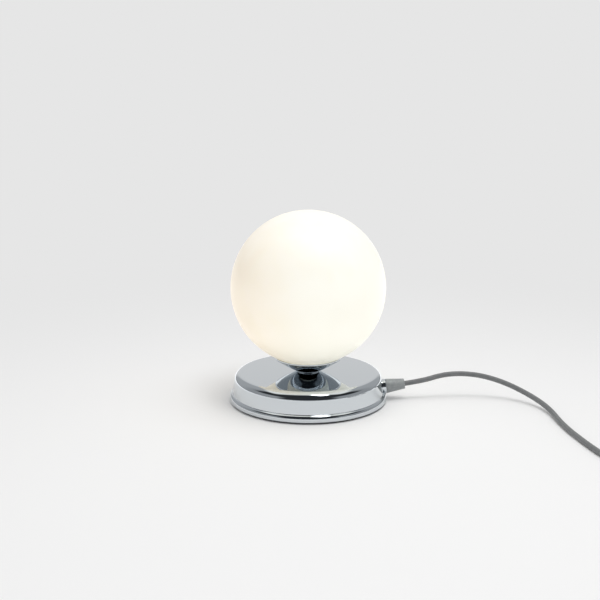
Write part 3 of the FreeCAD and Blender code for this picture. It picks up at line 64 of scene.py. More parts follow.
# The sleeve, and the cord's control points in millimetres from there to the switch.
SLEEVE_TIP = (95.118, 0.0, 15.906)
SLEEVE_TILT = math.radians(8.0)
SLEEVE_END = 21.6                  # its tip, out from the base's wall
SLEEVE_ROOT = 3.4                  # where it meets the collar
SLEEVE_BORE = 2.52
CORD_IN_SLEEVE = 8.0
CORD_ROUTE = [
    (112.1, 0.0, 18.3),
    (135.5, 4.0, 24.7),
    (163.0, 5.0, 24.5),
    (189.0, 1.5, 18.8),
    (213.0, -11.0, 10.0),
    (229.0, -39.0, 4.3),
    (231.5, -84.0, 2.6),
    (239.3, -127.0, 2.6),
    (249.0, -166.0, 2.6),
    (264.5, -195.0, 3.4),
    (284.0, -204.0, 5.4),
]
SWITCH_ENDS = [(304.0, -204.0, 5.4), (350.0, -204.0, 5.4)]
LINK_TO_COIL = [(363.7, -204.0, 5.4), (377.3, -204.0, 3.4), (391.0, -204.0, 3.4)]
PLUG_CORD = [
    (391.0, -126.5, 9.0),
    (371.0, -126.5, 9.0),
    (353.7, -116.5, 7.925),
    (343.68, -99.2, 6.85),
    (343.68, -79.2, 6.85),
]

# The put-away coil, as half turns that grow smaller, climb one layer and grow larger again.
COIL_CENTRE_X = 396.0
COIL_START = (-204.0, 3.4)
COIL_RADIUS = 38.75
COIL_PITCH = 5.5
COIL_LAYER = 5.6
COIL_HALF_TURNS_IN = 6
COIL_STEPS = 8                     # control points in a half turn

# Heights and radii in millimetres that several turned pieces share.
ROD_HOLE = 5.05
TOP_LAND = 29.398
CUP_FOOT = 30.0
COLLAR_FOOT = 29.4
BULB_BORE = 5.85
BULB_CAP_LOW = 62.0
BULB_CAP_HIGH = 78.0
THREAD_PITCH = 2.82
THREAD_ROUND = 2.52                # of a pitch, the part that is rounded
THREAD_TURNS = 4
HOLDER_FOOT = 35.5
HOLDER_SPLIT = 43.0
HOLDER_MOUTH = 73.0

# The glow of the glass, by place in metres in the imported model's frame.
# Painted shade and light in the glow: warmer on the side away from the daylight, whiter towards it.
GLOW_PAINTED_DAYLIGHT_X = (-0.085, 0.015)  # from the shaded side's colour to the daylight side's
GLOW_HEIGHT = (0.04, 0.185)
GLOW_LOW, GLOW_HIGH = 1.2, 0.62    # times the glow setting, at the foot and the top
# Painted shade: the glow is dimmer at the glass's far left.
GLOW_PAINTED_SHADE_X = (-0.075, -0.04)
GLOW_PAINTED_SHADE, GLOW_REST = 0.86, 1.06

# The studio in metres.
CAMERA_PLACE = (-0.00799, -0.9803, 0.32366)
SENSOR_WIDTH = 36.0
FLOOR_RADIUS = 9.0
FLOOR_SIDES = 96
POOL_CENTRE_Y = -0.25              # the middle of the light pool round the lamp
POOL_FADES = (0.15, 0.95)          # seen directly, how far out it turns into the backdrop
POOL_MIRRORED = (0.3, 0.7)         # seen in metal, how far out the floor turns bright
MIRRORED_GLOW = 1.5                # how bright

# The studio as metal mirrors it. A pair is where one thing gives way to the next, along a direction
# whose y is -1 towards the camera and 1 away from it, and whose z is 1 straight up.
DARK_SCREEN = (0.032, 0.035, 0.039, 1.0)
SIDE_WALL = (0.36, 0.37, 0.38, 1.0)
REAR_WALL = (0.46, 0.47, 0.48, 1.0)
REAR_PAPER = (0.76, 0.76, 0.76, 1.0)
LIT_CEILING = (1.02, 1.02, 0.98, 1.0)
SCREEN_TO_SIDE = (-0.85, -0.6)
SIDE_TO_REAR = (0.2, 0.6)
WALL_TO_FLOOR = (0.16, 0.06)
SCREEN_TO_WALL = (0.56, 0.48)      # the walls' upper edge
REAR_HALF = (0.0, 0.3)
CEILING_STARTS = (0.78, 0.86)
CEILING_FRONT = (-0.3, -0.05)
REAR_TO_PAPER = (0.88, 0.96)


# ---- colour and material nodes ------------------------------------------------------------------

def linear(colour):
    """An sRGB hex colour as linear RGBA."""
    channels = [int(colour[i:i + 2], 16) / 255 for i in (1, 3, 5)]
    return [c / 12.92 if c <= 0.04045 else ((c + 0.055) / 1.055) ** 2.4 for c in channels] + [1.0]


def opaque(colour):
    """A colour property as RGBA."""
    return list(colour) + [1.0]


def add(tree, kind, settings=None, links=None):
    """Adds a node, with its properties and input values, and links from other nodes' sockets."""
    node = tree.nodes.new(kind)
    for name, value in (settings or {}).items():
        if isinstance(name, str) and hasattr(node, name):
            setattr(node, name, value)
        else:
            node.inputs[name].default_value = value
    for name, socket in (links or {}).items():
        tree.links.new(socket, node.inputs[name])
    return node


def new_material(name, colour, roughness, **settings):
    """A material with one main shader. Returns it with its tree, its shader and Object coordinates."""
    material = bpy.data.materials.new(name)
    material.use_nodes = True
    tree = material.node_tree
    tree.nodes.clear()
    values = {"Base Color": colour, "Roughness": roughness}
    values.update(settings)
    shader = add(tree, "ShaderNodeBsdfPrincipled", values)
    add(tree, "ShaderNodeOutputMaterial", links={"Surface": shader.outputs[0]})
    place = add(tree, "ShaderNodeTexCoord").outputs["Object"]
    return material, tree, shader, place


def grain(tree, place, size_mm, detail, stretch=(1, 1, 1)):
    """Noise whose lumps are about size_mm across."""
    if stretch != (1, 1, 1):
        place = add(tree, "ShaderNodeMapping", {"Scale": stretch}, {"Vector": place}).outputs[0]
    settings = {"Scale": 1 / (size_mm * MM), "Detail": detail}
    return add(tree, "ShaderNodeTexNoise", settings, {"Vector": place}).outputs["Fac"]


def remap(tree, value, span, low, high):
    """Takes a value from its span to low and high. It stays at them beyond the span's ends."""
    settings = {"From Min": span[0], "From Max": span[1], "To Min": low, "To Max": high}
    return add(tree, "ShaderNodeMapRange", settings, {"Value": value}).outputs[0]


def spread(tree, value, low, high):
    """Takes noise to a range of another value, such as roughness."""
    return remap(tree, value, NOISE_SPAN, low, high)


def blend(tree, value, span):
    """0 at the span's start and 1 at its end, with soft ends. The span may run either way."""
    settings = {"From Min": span[0], "From Max": span[1], "interpolation_type": "SMOOTHSTEP"}
    return add(tree, "ShaderNodeMapRange", settings, {"Value": value}).outputs[0]


def combine(tree, operation, a, b):
    """One number from two."""
    return add(tree, "ShaderNodeMath", {"operation": operation}, {0: a, 1: b}).outputs[0]


def toward(tree, fac, start, end):
    """Mixes from one colour to another. Either may be a socket."""
    mix = add(tree, "ShaderNodeMix", {"data_type": "RGBA"}, {"Factor": fac})
    for name, colour in (("A", start), ("B", end)):
        if isinstance(colour, bpy.types.NodeSocket):
            tree.links.new(colour, mix.inputs[name])
        else:
            mix.inputs[name].default_value = colour
    return mix.outputs["Result"]


def tint(tree, shader, value, dark, light):
    """Colours the shader between two hex colours by a value."""
    colour = toward(tree, spread(tree, value, 0.0, 1.0), linear(dark), linear(light))
    tree.links.new(colour, shader.inputs["Base Color"])


def relief(tree, shader, height, depth_mm):
    """Raises the surface by up to depth_mm."""
    bump = add(tree, "ShaderNodeBump", {"Distance": depth_mm * MM}, {"Height": height})
    tree.links.new(bump.outputs[0], shader.inputs["Normal"])


def chrome_plate(name):
    # Steel, spun, buffed and chrome plated: a hard mirror, with a slow ripple from the spinning.
    material, tree, shader, place = new_material(name, linear("#D0D5D9"), 0.03, Metallic=1.0)
    haze = grain(tree, place, 9.0, 3.0)
    tree.links.new(spread(tree, haze, 0.02, 0.045), shader.inputs["Roughness"])
    relief(tree, shader, grain(tree, place, 14.0, 1.0), 0.008)
    return material


def opal_glass(name):
    # Blown opal glass, acid-matted outside and lit from inside: even and milky, a little brighter low down.
    # Painted shade and light in its glow: warmer on the shaded side, whiter towards the daylight, dimmer far
    # left.
    colours = bpy.context.scene.lamp_colours
    glow = colours.glass_glow
    material, tree, shader, place = new_material(name, linear("#E7E6E0"), 0.42, IOR=1.5)
    tint(tree, shader, grain(tree, place, 30.0, 2.0), "#E4E2DB", "#E9E8E3")
    parts = add(tree, "ShaderNodeSeparateXYZ", links={"Vector": place})
    # Painted shade and light: the glow's colour runs from the shaded side's to the daylight side's.
    painted_daylight = blend(tree, parts.outputs["X"], GLOW_PAINTED_DAYLIGHT_X)
    colour = toward(tree, painted_daylight, opaque(colours.glow_painted_shade_side), opaque(colours.glow_painted_daylight_side))
    tree.links.new(colour, shader.inputs["Emission Color"])
    upward = remap(tree, parts.outputs["Z"], GLOW_HEIGHT, glow * GLOW_LOW, glow * GLOW_HIGH)
    # Painted shade: a dimmer glow at the far left.
    painted_shade_left = remap(tree, parts.outputs["X"], GLOW_PAINTED_SHADE_X, GLOW_PAINTED_SHADE, GLOW_REST)
    tree.links.new(combine(tree, "MULTIPLY", upward, painted_shade_left), shader.inputs["Emission Strength"])
    relief(tree, shader, grain(tree, place, 0.8, 1.0), 0.01)
    return material


def metal(name, dark, light, low, high, grain_mm, depth_mm, stretch=(1, 1, 1)):
    """A metal whose colour and gloss vary with one grain."""
    material, tree, shader, place = new_material(name, linear(light), (low + high) / 2, Metallic=1.0)
    lumps = grain(tree, place, grain_mm, 3.0, stretch)
    tint(tree, shader, lumps, dark, light)
    tree.links.new(spread(tree, lumps, low, high), shader.inputs["Roughness"])
    relief(tree, shader, lumps, depth_mm)
    return material


def moulded(name, dark, light, low, high, grain_mm, depth_mm):
    """A plastic, rubber or ceramic with the texture of its mould or glaze."""
    material, tree, shader, place = new_material(name, linear(light), (low + high) / 2)
    tint(tree, shader, grain(tree, place, grain_mm * 6, 2.0), dark, light)
    texture = grain(tree, place, grain_mm, 2.0)
    tree.links.new(spread(tree, texture, low, high), shader.inputs["Roughness"])
    relief(tree, shader, texture, depth_mm)
    return material


def felt(name):
    # Pressed wool felt: no gloss, a nap of short fibres.
    material, tree, shader, place = new_material(name, linear("#2A2A2B"), 0.95)
    nap = grain(tree, place, 0.9, 4.0)
    tint(tree, shader, nap, "#1E1E1F", "#3A3A3B")
    relief(tree, shader, nap, 0.3)
    shader.inputs["Sheen Weight"].default_value = 0.3
    return material


def make_finishes():
    """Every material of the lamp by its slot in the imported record."""
    return {
        "base_chrome": chrome_plate("chrome_plated_spun_steel"),
        "cup_chrome": chrome_plate("chrome_plated_cup"),
        "opal_glass": opal_glass("matted_opal_glass"),
        "pad_felt": felt("pressed_wool_felt"),
        # Zinc-plated mild steel: pale, slightly blue, with the spangle of a thin bright plating.
        "zinc_steel": metal("zinc_plated_steel", "#A3A7AB", "#C3C7CB", 0.22, 0.38, 1.6, 0.004),
        # Grey iron as it left the sand, dipped in black lacquer: rough and dull.
        "cast_weight": metal("dipped_cast_iron", "#2A2A2A", "#414140", 0.55, 0.8, 1.2, 0.12),
        # Cold-rolled spring strip: fine lines along the leaf.
        "spring_steel": metal(
            "rolled_spring_steel", "#9EA09E", "#C6C8C4", 0.16, 0.3, 0.8, 0.003, stretch=(1, 1, 0.08)),
        # Cast silicone rubber: soft satin.
        "gasket_rubber": moulded("white_silicone_rubber", "#D6D6D0", "#E6E6E0", 0.45, 0.6, 0.5, 0.01),
        # Heat-proof thermoset, compression moulded: a clean satin skin.
        "holder_plastic": moulded("white_thermoset", "#DEDCD2", "#EAE8DF", 0.32, 0.45, 0.6, 0.008),
        # Glazed steatite porcelain: glassy, with faint orange peel.
        "holder_ceramic": moulded("glazed_porcelain", "#E4E0D4", "#F1EEE4", 0.1, 0.2, 2.2, 0.02),
        # Drawn brass: warm, brightly worn.
        "contact_brass": metal("drawn_brass", "#B4914A", "#D9B768", 0.18, 0.32, 1.2, 0.004),
        # Nickel-plated cap, rolled: a dull mirror.
        "bulb_metal": metal("nickel_plated_cap", "#A8A69E", "#C9C7BF", 0.14, 0.26, 1.0, 0.003),
        # Black vitrite glass, pressed.
        "bulb_black": moulded("black_vitrite", "#0B0B0D", "#17171A", 0.08, 0.18, 1.5, 0.02),
        # Polycarbonate bulb neck, injection moulded.
        "bulb_plastic": moulded("white_polycarbonate", "#E2E2DD", "#F0F0EB", 0.3, 0.42, 0.5, 0.006),
        # Diffusing polycarbonate dome: milky satin.
        "bulb_opal": moulded("diffusing_polycarbonate", "#EFEADF", "#FAF6EC", 0.35, 0.45, 0.8, 0.004),
        # White solder mask over copper: gloss with a slight texture.
        "board_white": moulded("white_solder_mask", "#E0E0DA", "#F2F2EC", 0.18, 0.28, 0.7, 0.01),
        # Soft plasticised vinyl sleeve: grey satin.
        "grip_plastic": moulded("grey_vinyl_sleeve", "#888C8D", "#989C9D", 0.38, 0.5, 0.5, 0.01),
        # Extruded vinyl sheath: even grey, a low sheen.
        "cord_pvc": moulded("grey_vinyl_cord", "#6A6C6D", "#757778", 0.36, 0.48, 0.7, 0.01),
        # Thin extruded vinyl over the live core.
        "wire_brown": moulded("brown_core_insulation", "#4A2A17", "#5A351E", 0.3, 0.4, 0.5, 0.004),
        # Thin extruded vinyl over the neutral core.
        "wire_blue": moulded("blue_core_insulation", "#1D4A92", "#285AA6", 0.3, 0.4, 0.5, 0.004),
        # Natural nylon: milky and slightly waxy.
        "block_plastic": moulded("natural_nylon", "#D8D6C8", "#E8E6DA", 0.38, 0.5, 0.6, 0.01),
        # ABS with a fine spark-eroded grain.
        "switch_plastic": moulded("dark_grey_abs", "#3A3B3D", "#434547", 0.34, 0.48, 0.4, 0.015),
        # Vinyl moulded over the plug's bridge.
        "plug_plastic": moulded("dark_grey_moulded_vinyl", "#3F4142", "#4A4C4D", 0.42, 0.55, 0.5, 0.012),
        # Nickel on turned brass pins.
        "pin_nickel": metal("nickel_plated_pins", "#B9B6AC", "#D6D3CA", 0.1, 0.2, 1.0, 0.002),
    }


def finish_of(slot):
    """The material of a slot. All of them are made at the first call."""
    materials = bpy.app.driver_namespace.setdefault("globe_lamp_finishes", {})
    if not materials:
        materials.update(make_finishes())
    return materials[slot]


# ---- mesh helpers -------------------------------------------------------------------------------

def circle_through(a, b, c):
    """The centre of the circle through three (r, z) points."""
    ax, ay = a
    bx, by = b
    cx, cy = c
    d = 2 * (ax * (by - cy) + bx * (cy - ay) + cx * (ay - by))
    a2, b2, c2 = ax * ax + ay * ay, bx * bx + by * by, cx * cx + cy * cy
    return ((a2 * (by - cy) + b2 * (cy - ay) + c2 * (ay - by)) / d,
            (a2 * (cx - bx) + b2 * (ax - cx) + c2 * (bx - ax)) / d)


def clockwise_angle(centre, start, end, middle):
    """How far an arc turns from start to end by way of middle, clockwise positive with r right and z up."""
    def bearing(p):
        return math.atan2(p[0] - centre[0], p[1] - centre[1])
    whole = (bearing(end) - bearing(start)) % math.tau
    part = (bearing(middle) - bearing(start)) % math.tau
    return whole if part < whole else whole - math.tau


def lay_outline(bm, steps, arc_step):
    """Lays an (r, z) outline in millimetres: a step is a corner, or an arc's middle and end."""
    here = steps[0]
    first = last = bm.verts.new((here[0] * MM, 0, here[1] * MM))
    for step in steps[1:]:
        if isinstance(step[0], tuple):
            middle, end = step
            centre = circle_through(here, middle, end)
            angle = clockwise_angle(centre, here, end, middle)
            made = bmesh.ops.spin(
                bm, geom=[last], cent=(centre[0] * MM, 0, centre[1] * MM), axis=(0, 1, 0), dvec=(0, 0, 0),
                angle=angle, steps=max(2, math.ceil(abs(math.degrees(angle)) / arc_step)), use_merge=False,
            )
            last = [v for v in made["geom_last"] if isinstance(v, bmesh.types.BMVert)][0]
        else:
            end = step
            before, last = last, bm.verts.new((end[0] * MM, 0, end[1] * MM))
            bm.edges.new((before, last))
        here = end
    return first, last


def turned(name, steps, closed=True, around=96, arc_step=5.0):
    """A piece turned about the Z axis from an outline, with its sharp corners kept sharp."""
    bm = bmesh.new()
    first, last = lay_outline(bm, steps, arc_step)
    if closed:
        bm.edges.new((last, first))
    bmesh.ops.spin(
        bm, geom=bm.verts[:] + bm.edges[:], cent=(0, 0, 0), axis=(0, 0, 1), dvec=(0, 0, 0),
        angle=math.tau, steps=around, use_merge=True,
    )
    bmesh.ops.remove_doubles(bm, verts=bm.verts, dist=1e-7)
    bmesh.ops.recalc_face_normals(bm, faces=bm.faces)
    return finished(name, bm)


def finished(name, bm):
    """Ends a mesh: smooth faces, with the sharp corners kept sharp."""
    for face in bm.faces:
        face.smooth = True
    for edge in bm.edges:
        if len(edge.link_faces) == 2 and edge.calc_face_angle(0.0) > SHARP_ANGLE:
            edge.smooth = False
    mesh = bpy.data.meshes.new(name)
    bm.to_mesh(mesh)
    bm.free()
    piece = bpy.data.objects.new(name, mesh)
    bpy.context.scene.collection.objects.link(piece)
    return piece


def even_flats(piece):
    """Flat stretches reflect flat, and only the rounds bend the light."""
    modifier = piece.modifiers.new("even flats", "WEIGHTED_NORMAL")
    modifier.keep_sharp = True


def place_piece(piece, body, slot, *nodes):
    """Gives a piece its finish and its body, and hides the nodes that it stands for."""
    piece.data.materials.append(finish_of(slot))
    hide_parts(*nodes)
    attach(piece, body)


def lay_along_sleeve(piece):
    """Takes a piece turned about Z, with the wall at z = 0, to the cord's way out of the wall."""
    out = Vector((math.cos(SLEEVE_TILT), 0, math.sin(SLEEVE_TILT)))
    at_wall = Matrix.Translation((Vector(SLEEVE_TIP) - out * SLEEVE_END) * MM)
    piece.data.transform(at_wall @ Matrix.Rotation(math.pi / 2 - SLEEVE_TILT, 4, "Y"))


# ---- settings -----------------------------------------------------------------------------------

class LampSizes(bpy.types.PropertyGroup):
    """Sizes of the lamp's visible pieces."""

    globe_radius: FloatProperty(
        name="Globe radius", description="Outside radius of the glass ball", default=0.075, unit="LENGTH")
    globe_wall: FloatProperty(
        name="Glass thickness", description="Wall of the glass ball", default=0.0026, unit="LENGTH")
    globe_height: FloatProperty(
        name="Globe centre height", description="Height of the ball's centre above the table",
        default=0.112798, unit="LENGTH")
    globe_opening: FloatProperty(
        name="Glass opening radius", description="Radius of the hole under the ball",
        default=0.026, unit="LENGTH")
    segments: IntProperty(
        name="Segments", description="Facets around each turned piece", default=256, min=48, max=512)


class LampColours(bpy.types.PropertyGroup):
    """Colours that change how the lamp looks."""

    # Painted shade and light: the glow's colours on the shaded side and on the daylight side.
    glow_painted_shade_side: FloatVectorProperty(
        name="Glow, shaded side", description="Glow of the glass on the side away from the daylight",
        default=linear("#EFCE98")[:3], subtype="COLOR", size=3, min=0, max=1)
    glow_painted_daylight_side: FloatVectorProperty(
        name="Glow, daylight side", description="Glow of the glass on the side towards the daylight",
        default=linear("#F2EFDD")[:3], subtype="COLOR", size=3, min=0, max=1)
    glass_glow: FloatProperty(
        name="Glow strength", description="How strongly the lit glass glows", default=0.385, min=0, max=4)
    floor_near: FloatVectorProperty(
        name="Floor", description="Floor colour near the lamp",
        default=linear("#F1F1F1")[:3], subtype="COLOR", size=3, min=0, max=1)
    backdrop: FloatVectorProperty(
        name="Backdrop", description="Colour of the backdrop and of the far floor",
        default=linear("#E6E6E6")[:3], subtype="COLOR", size=3, min=0, max=1)


class StudioSettings(bpy.types.PropertyGroup):
    """Camera and light of the studio."""

    lens: FloatProperty(
        name="Lens", description="Focal length in millimetres", default=62.24, min=10, max=300)
    pitch: FloatProperty(
        name="Camera pitch", description="How far the camera looks down",
        default=math.radians(12.83), subtype="ANGLE")
    daylight: FloatProperty(
        name="Daylight", description="Strength of the even light", default=0.62, min=0, max=4)
    softbox: FloatProperty(
        name="Softbox", description="Power of the overhead softbox in watts", default=14.0, min=0, max=500)


# ---- stage --------------------------------------------------------------------------------------

def soft_box(name, place, at, width, depth, power, in_mirrors):
    """A rectangular lamp that faces a point. Metal mirrors it only if in_mirrors is set."""
    light = bpy.data.lights.new(name, "AREA")
    light.shape = "RECTANGLE"
    light.size = width
    light.size_y = depth
    light.energy = power
    box = bpy.data.objects.new(name, light)
    bpy.context.scene.collection.objects.link(box)
    box.location = place
    box.rotation_euler = (Vector(at) - Vector(place)).to_track_quat("-Z", "Y").to_euler()
    box.visible_glossy = in_mirrors


def make_world():
    """Pale to the camera, an even light, and in metal a room with walls, a lit ceiling and a dark screen."""
    world = bpy.data.worlds.new("studio_air")
    bpy.context.scene.world = world
    world.use_nodes = True
    tree = world.node_tree
    tree.nodes.clear()
    way = add(tree, "ShaderNodeTexCoord").outputs["Generated"]
    parts = add(tree, "ShaderNodeSeparateXYZ", links={"Vector": way})
    depth, height = parts.outputs["Y"], parts.outputs["Z"]
    flat = add(tree, "ShaderNodeCombineXYZ", links={"X": parts.outputs["X"], "Y": depth}).outputs[0]
    level = add(tree, "ShaderNodeVectorMath", {"operation": "NORMALIZE"}, {0: flat}).outputs["Vector"]
    ahead = add(tree, "ShaderNodeSeparateXYZ", links={"Vector": level}).outputs["Y"]
    walls = toward(tree, blend(tree, ahead, SCREEN_TO_SIDE), DARK_SCREEN, SIDE_WALL)
    walls = toward(tree, blend(tree, ahead, SIDE_TO_REAR), walls, REAR_WALL)
    walls = toward(tree, blend(tree, height, WALL_TO_FLOOR), walls, SIDE_WALL)
    under_screen = combine(
        tree, "MAXIMUM", blend(tree, height, SCREEN_TO_WALL), blend(tree, ahead, REAR_HALF))
    room = toward(tree, under_screen, DARK_SCREEN, walls)
    ceiling = combine(
        tree, "MULTIPLY", blend(tree, height, CEILING_STARTS), blend(tree, depth, CEILING_FRONT))
    room = toward(tree, ceiling, room, LIT_CEILING)
    room = toward(tree, blend(tree, ahead, REAR_TO_PAPER), room, REAR_PAPER)
    mirrored = add(tree, "ShaderNodeBackground", links={"Color": room}).outputs[0]
    backdrop = opaque(bpy.context.scene.lamp_colours.backdrop)
    shown = add(tree, "ShaderNodeBackground", {"Color": backdrop}).outputs[0]
    daylight = {"Color": linear("#FFFFFF"), "Strength": bpy.context.scene.lamp_studio.daylight}
    lit = add(tree, "ShaderNodeBackground", daylight).outputs[0]
    path = add(tree, "ShaderNodeLightPath").outputs
    in_metal = combine(tree, "MAXIMUM", path["Is Glossy Ray"], path["Is Transmission Ray"])
    unseen = add(tree, "ShaderNodeMixShader", links={0: in_metal, 1: lit, 2: mirrored}).outputs[0]
    air = add(tree, "ShaderNodeMixShader", links={0: path["Is Camera Ray"], 1: unseen, 2: shown}).outputs[0]
    add(tree, "ShaderNodeOutputWorld", links={"Surface": air})


def floor_material():
    # Matt white backdrop paper: a pool of light round the lamp, which fades into the even backdrop.
    colours = bpy.context.scene.lamp_colours
    material, tree, shader, place = new_material("matt_paper_floor", opaque(colours.floor_near), 0.9)
    moved = add(tree, "ShaderNodeMapping", {"Location": (0, -POOL_CENTRE_Y, 0)}, {"Vector": place}).outputs[0]
    reach = add(tree, "ShaderNodeVectorMath", {"operation": "LENGTH"}, {0: moved}).outputs["Value"]
    path = add(tree, "ShaderNodeLightPath").outputs
    even = add(tree, "ShaderNodeEmission", {"Color": opaque(colours.backdrop)}).outputs[0]
    glow = {"Color": linear("#FFFFFF"), "Strength": MIRRORED_GLOW}
    bright = add(tree, "ShaderNodeEmission", glow).outputs[0]
    seen = combine(tree, "MULTIPLY", blend(tree, reach, POOL_FADES), path["Is Camera Ray"])
    mirrored = combine(tree, "MULTIPLY", blend(tree, reach, POOL_MIRRORED), path["Is Glossy Ray"])
    inner = add(tree, "ShaderNodeMixShader", links={0: mirrored, 1: shader.outputs[0], 2: bright}).outputs[0]
    outer = add(tree, "ShaderNodeMixShader", links={0: seen, 1: inner, 2: even}).outputs[0]
    tree.links.new(outer, tree.nodes["Material Output"].inputs["Surface"])
    return material


class LAMP_OT_stage(bpy.types.Operator):
    """Sets up the camera, the pale floor and the soft light"""

    bl_idname = "globe_lamp.stage"
    bl_label = "Studio"

    def execute(self, context):
        studio = context.scene.lamp_studio
        camera = bpy.data.cameras.new("camera")
        camera.lens = studio.lens
        camera.sensor_width = SENSOR_WIDTH
        camera.clip_end = 100.0
        holder = bpy.data.objects.new("camera", camera)
        context.scene.collection.objects.link(holder)
        context.scene.camera = holder
        holder.location = CAMERA_PLACE
        holder.rotation_euler = (math.pi / 2 - studio.pitch, 0, 0)

        bm = bmesh.new()
        bmesh.ops.create_circle(bm, cap_ends=True, cap_tris=False, segments=FLOOR_SIDES, radius=FLOOR_RADIUS)
        floor = finished("floor", bm)
        floor.data.materials.append(floor_material())

        make_world()
        soft_box(
            "overhead_softbox", place=(0.3, -0.2, 1.9), at=(0, 0, 0.1), width=1.6, depth=1.6,
            power=studio.softbox, in_mirrors=False,
        )
        soft_box(
            "strip_softbox", place=(0.31, -0.35, 1.5), at=(0, 0, 0.05), width=0.32, depth=0.5,
            power=3.0, in_mirrors=True,
        )
        context.scene.view_settings.view_transform = "Standard"
        return {"FINISHED"}


# ---- cord ---------------------------------------------------------------------------------------

def coil_points():
    """The coil's control points, about sixteen to a turn, in millimetres."""
    points = []
    y, z = COIL_START
    swell = 1 / math.cos(math.pi / COIL_STEPS / 2)     # the line passes inside its control points
    for i in range(2 * COIL_HALF_TURNS_IN + 1):
        radius = COIL_RADIUS - (COIL_HALF_TURNS_IN - abs(i - COIL_HALF_TURNS_IN)) * COIL_PITCH / 2
        side = 1 if i % 2 == 0 else -1
        climb = COIL_LAYER if i == COIL_HALF_TURNS_IN else 0.0
        middle = y + side * radius
        for step in range(COIL_STEPS):
            angle = math.pi * ((step + 0.5) / COIL_STEPS - 0.5)
            points.append((
                COIL_CENTRE_X + side * radius * swell * math.cos(angle),
                middle + side * radius * swell * math.sin(angle),
                z + climb * (1 + math.sin(angle)) / 2,
            ))
        y += side * 2 * radius
        z += climb
    return points


def cord_points():
    """Every control point of the cord in millimetres, from inside its sleeve to inside the plug's."""
    x, y, z = SLEEVE_TIP
    inside = (x - CORD_IN_SLEEVE * math.cos(SLEEVE_TILT), y, z - CORD_IN_SLEEVE * math.sin(SLEEVE_TILT))
    return [inside] + CORD_ROUTE + SWITCH_ENDS + LINK_TO_COIL + coil_points() + PLUG_CORD


class LAMP_OT_cord(bpy.types.Operator):
    """Lays the mains cord, through its switch and into its put-away coil"""

    bl_idname = "globe_lamp.cord"
    bl_label = "Mains cord"

    def execute(self, context):
        curve = bpy.data.curves.new("mains_cord", "CURVE")
        curve.dimensions = "3D"
        curve.bevel_depth = CORD_DIAMETER / 2
        curve.bevel_resolution = 6
        curve.use_fill_caps = True
        spline = curve.splines.new("NURBS")
        route = cord_points()
        spline.points.add(len(route) - 1)
        for point, place in zip(spline.points, route):
            point.co = [c * MM for c in place] + [1.0]
        spline.order_u = 3
        spline.use_endpoint_u = True
        spline.resolution_u = 8
        cord = bpy.data.objects.new("mains_cord", curve)
        context.scene.collection.objects.link(cord)
        place_piece(cord, "base", "cord_pvc", "cord_run", "cord_link", "cord_coil", "plug_link")
        return {"FINISHED"}


# ---- lamp pieces --------------------------------------------------------------------------------

class LAMP_OT_gland(bpy.types.Operator):
    """Makes the chrome collar in the wall and the soft tapered sleeve on the cord"""

    bl_idname = "globe_lamp.gland"
    bl_label = "Cord gland and sleeve"

    def execute(self, context):
        collar = turned("cord_gland", [
            (3.2, -8.0), (4.9, -8.0), (4.9, -1.6), (7.3, -1.6), (7.3, 2.6),
            ((7.07, 3.17), (6.5, SLEEVE_ROOT)),
            (3.2, SLEEVE_ROOT),
        ])
        lay_along_sleeve(collar)
        even_flats(collar)
        place_piece(collar, "base", "cup_chrome", "gland_collar")
        sleeve = turned("cord_sleeve", [
            (SLEEVE_BORE, SLEEVE_ROOT), (6.6, SLEEVE_ROOT),
            ((6.9, 3.55), (7.0, 3.9)),
            (5.05, 20.6),
            ((4.9, 21.3), (4.3, SLEEVE_END)),
            (SLEEVE_BORE, SLEEVE_END),
        ])
        lay_along_sleeve(sleeve)
        even_flats(sleeve)
        place_piece(sleeve, "base", "grip_plastic", "cord_grip")
        return {"FINISHED"}


class LAMP_OT_base(bpy.types.Operator):
    """Makes the spun base with its domed top, leaning wall and rolled flange"""

    bl_idname = "globe_lamp.base"
    bl_label = "Base shell"

    def execute(self, context):
        shell = turned("base_shell_spun", [
            (ROD_HOLE, TOP_LAND), (11.5, TOP_LAND),
            ((38.434, 29.092), (65.362, 28.457)),
            ((70.645, 26.175), (72.893, 21.421)),
            (74.133, 8.772),
            ((74.214, 8.581), (74.390, 8.469)),
            ((76.417, 7.111), (77.2, 4.8)),
            (77.2, 2.4), (76.3, 1.5), (76.0, 1.5), (76.0, 4.8),
            ((75.464, 6.381), (74.077, 7.310)),
            ((73.298, 7.805), (72.939, 8.655)),
            (71.699, 21.304),
            ((69.797, 25.327), (65.326, 27.257)),
            ((38.416, 27.892), (11.5, 28.198)),
            (ROD_HOLE, 28.198),
        ], around=context.scene.lamp_sizes.segments, arc_step=4.0)
        even_flats(shell)
        place_piece(shell, "base", "base_chrome", "base_shell")
        return {"FINISHED"}


class LAMP_OT_cup(bpy.types.Operator):
    """Makes the shallow cup under the globe and the collar it stands on"""

    bl_idname = "globe_lamp.cup"
    bl_label = "Cup and collar"

    def execute(self, context):
        around = context.scene.lamp_sizes.segments
        foot = CUP_FOOT
        cup = turned("shade_cup_spun", [
            (ROD_HOLE, foot), (10.8, foot),
            ((21.5, foot + 5.25), (31.9, foot + 12.3)),
            ((32.55, foot + 12.75), (32.8, foot + 13.4)),
            (32.8, foot + 14.1),
            ((32.68, foot + 14.38), (32.4, foot + 14.5)),
            (31.8, foot + 14.5), (31.8, foot + 13.0), (29.9, foot + 13.0), (29.5, foot + 11.8),
            ((20.96, foot + 6.2), (11.4, foot + 1.0)),
            (ROD_HOLE, foot + 1.0),
        ], around=around, arc_step=2.0)
        even_flats(cup)
        place_piece(cup, "base", "cup_chrome", "shade_cup")
        collar = turned("stem_collar_turned", [
            (ROD_HOLE, COLLAR_FOOT), (10.7, COLLAR_FOOT), (10.8, COLLAR_FOOT + 0.1),
            (10.8, CUP_FOOT - 0.1), (10.7, CUP_FOOT), (ROD_HOLE, CUP_FOOT),
        ], around=around)
        even_flats(collar)
        place_piece(collar, "base", "cup_chrome", "stem_collar")
        return {"FINISHED"}


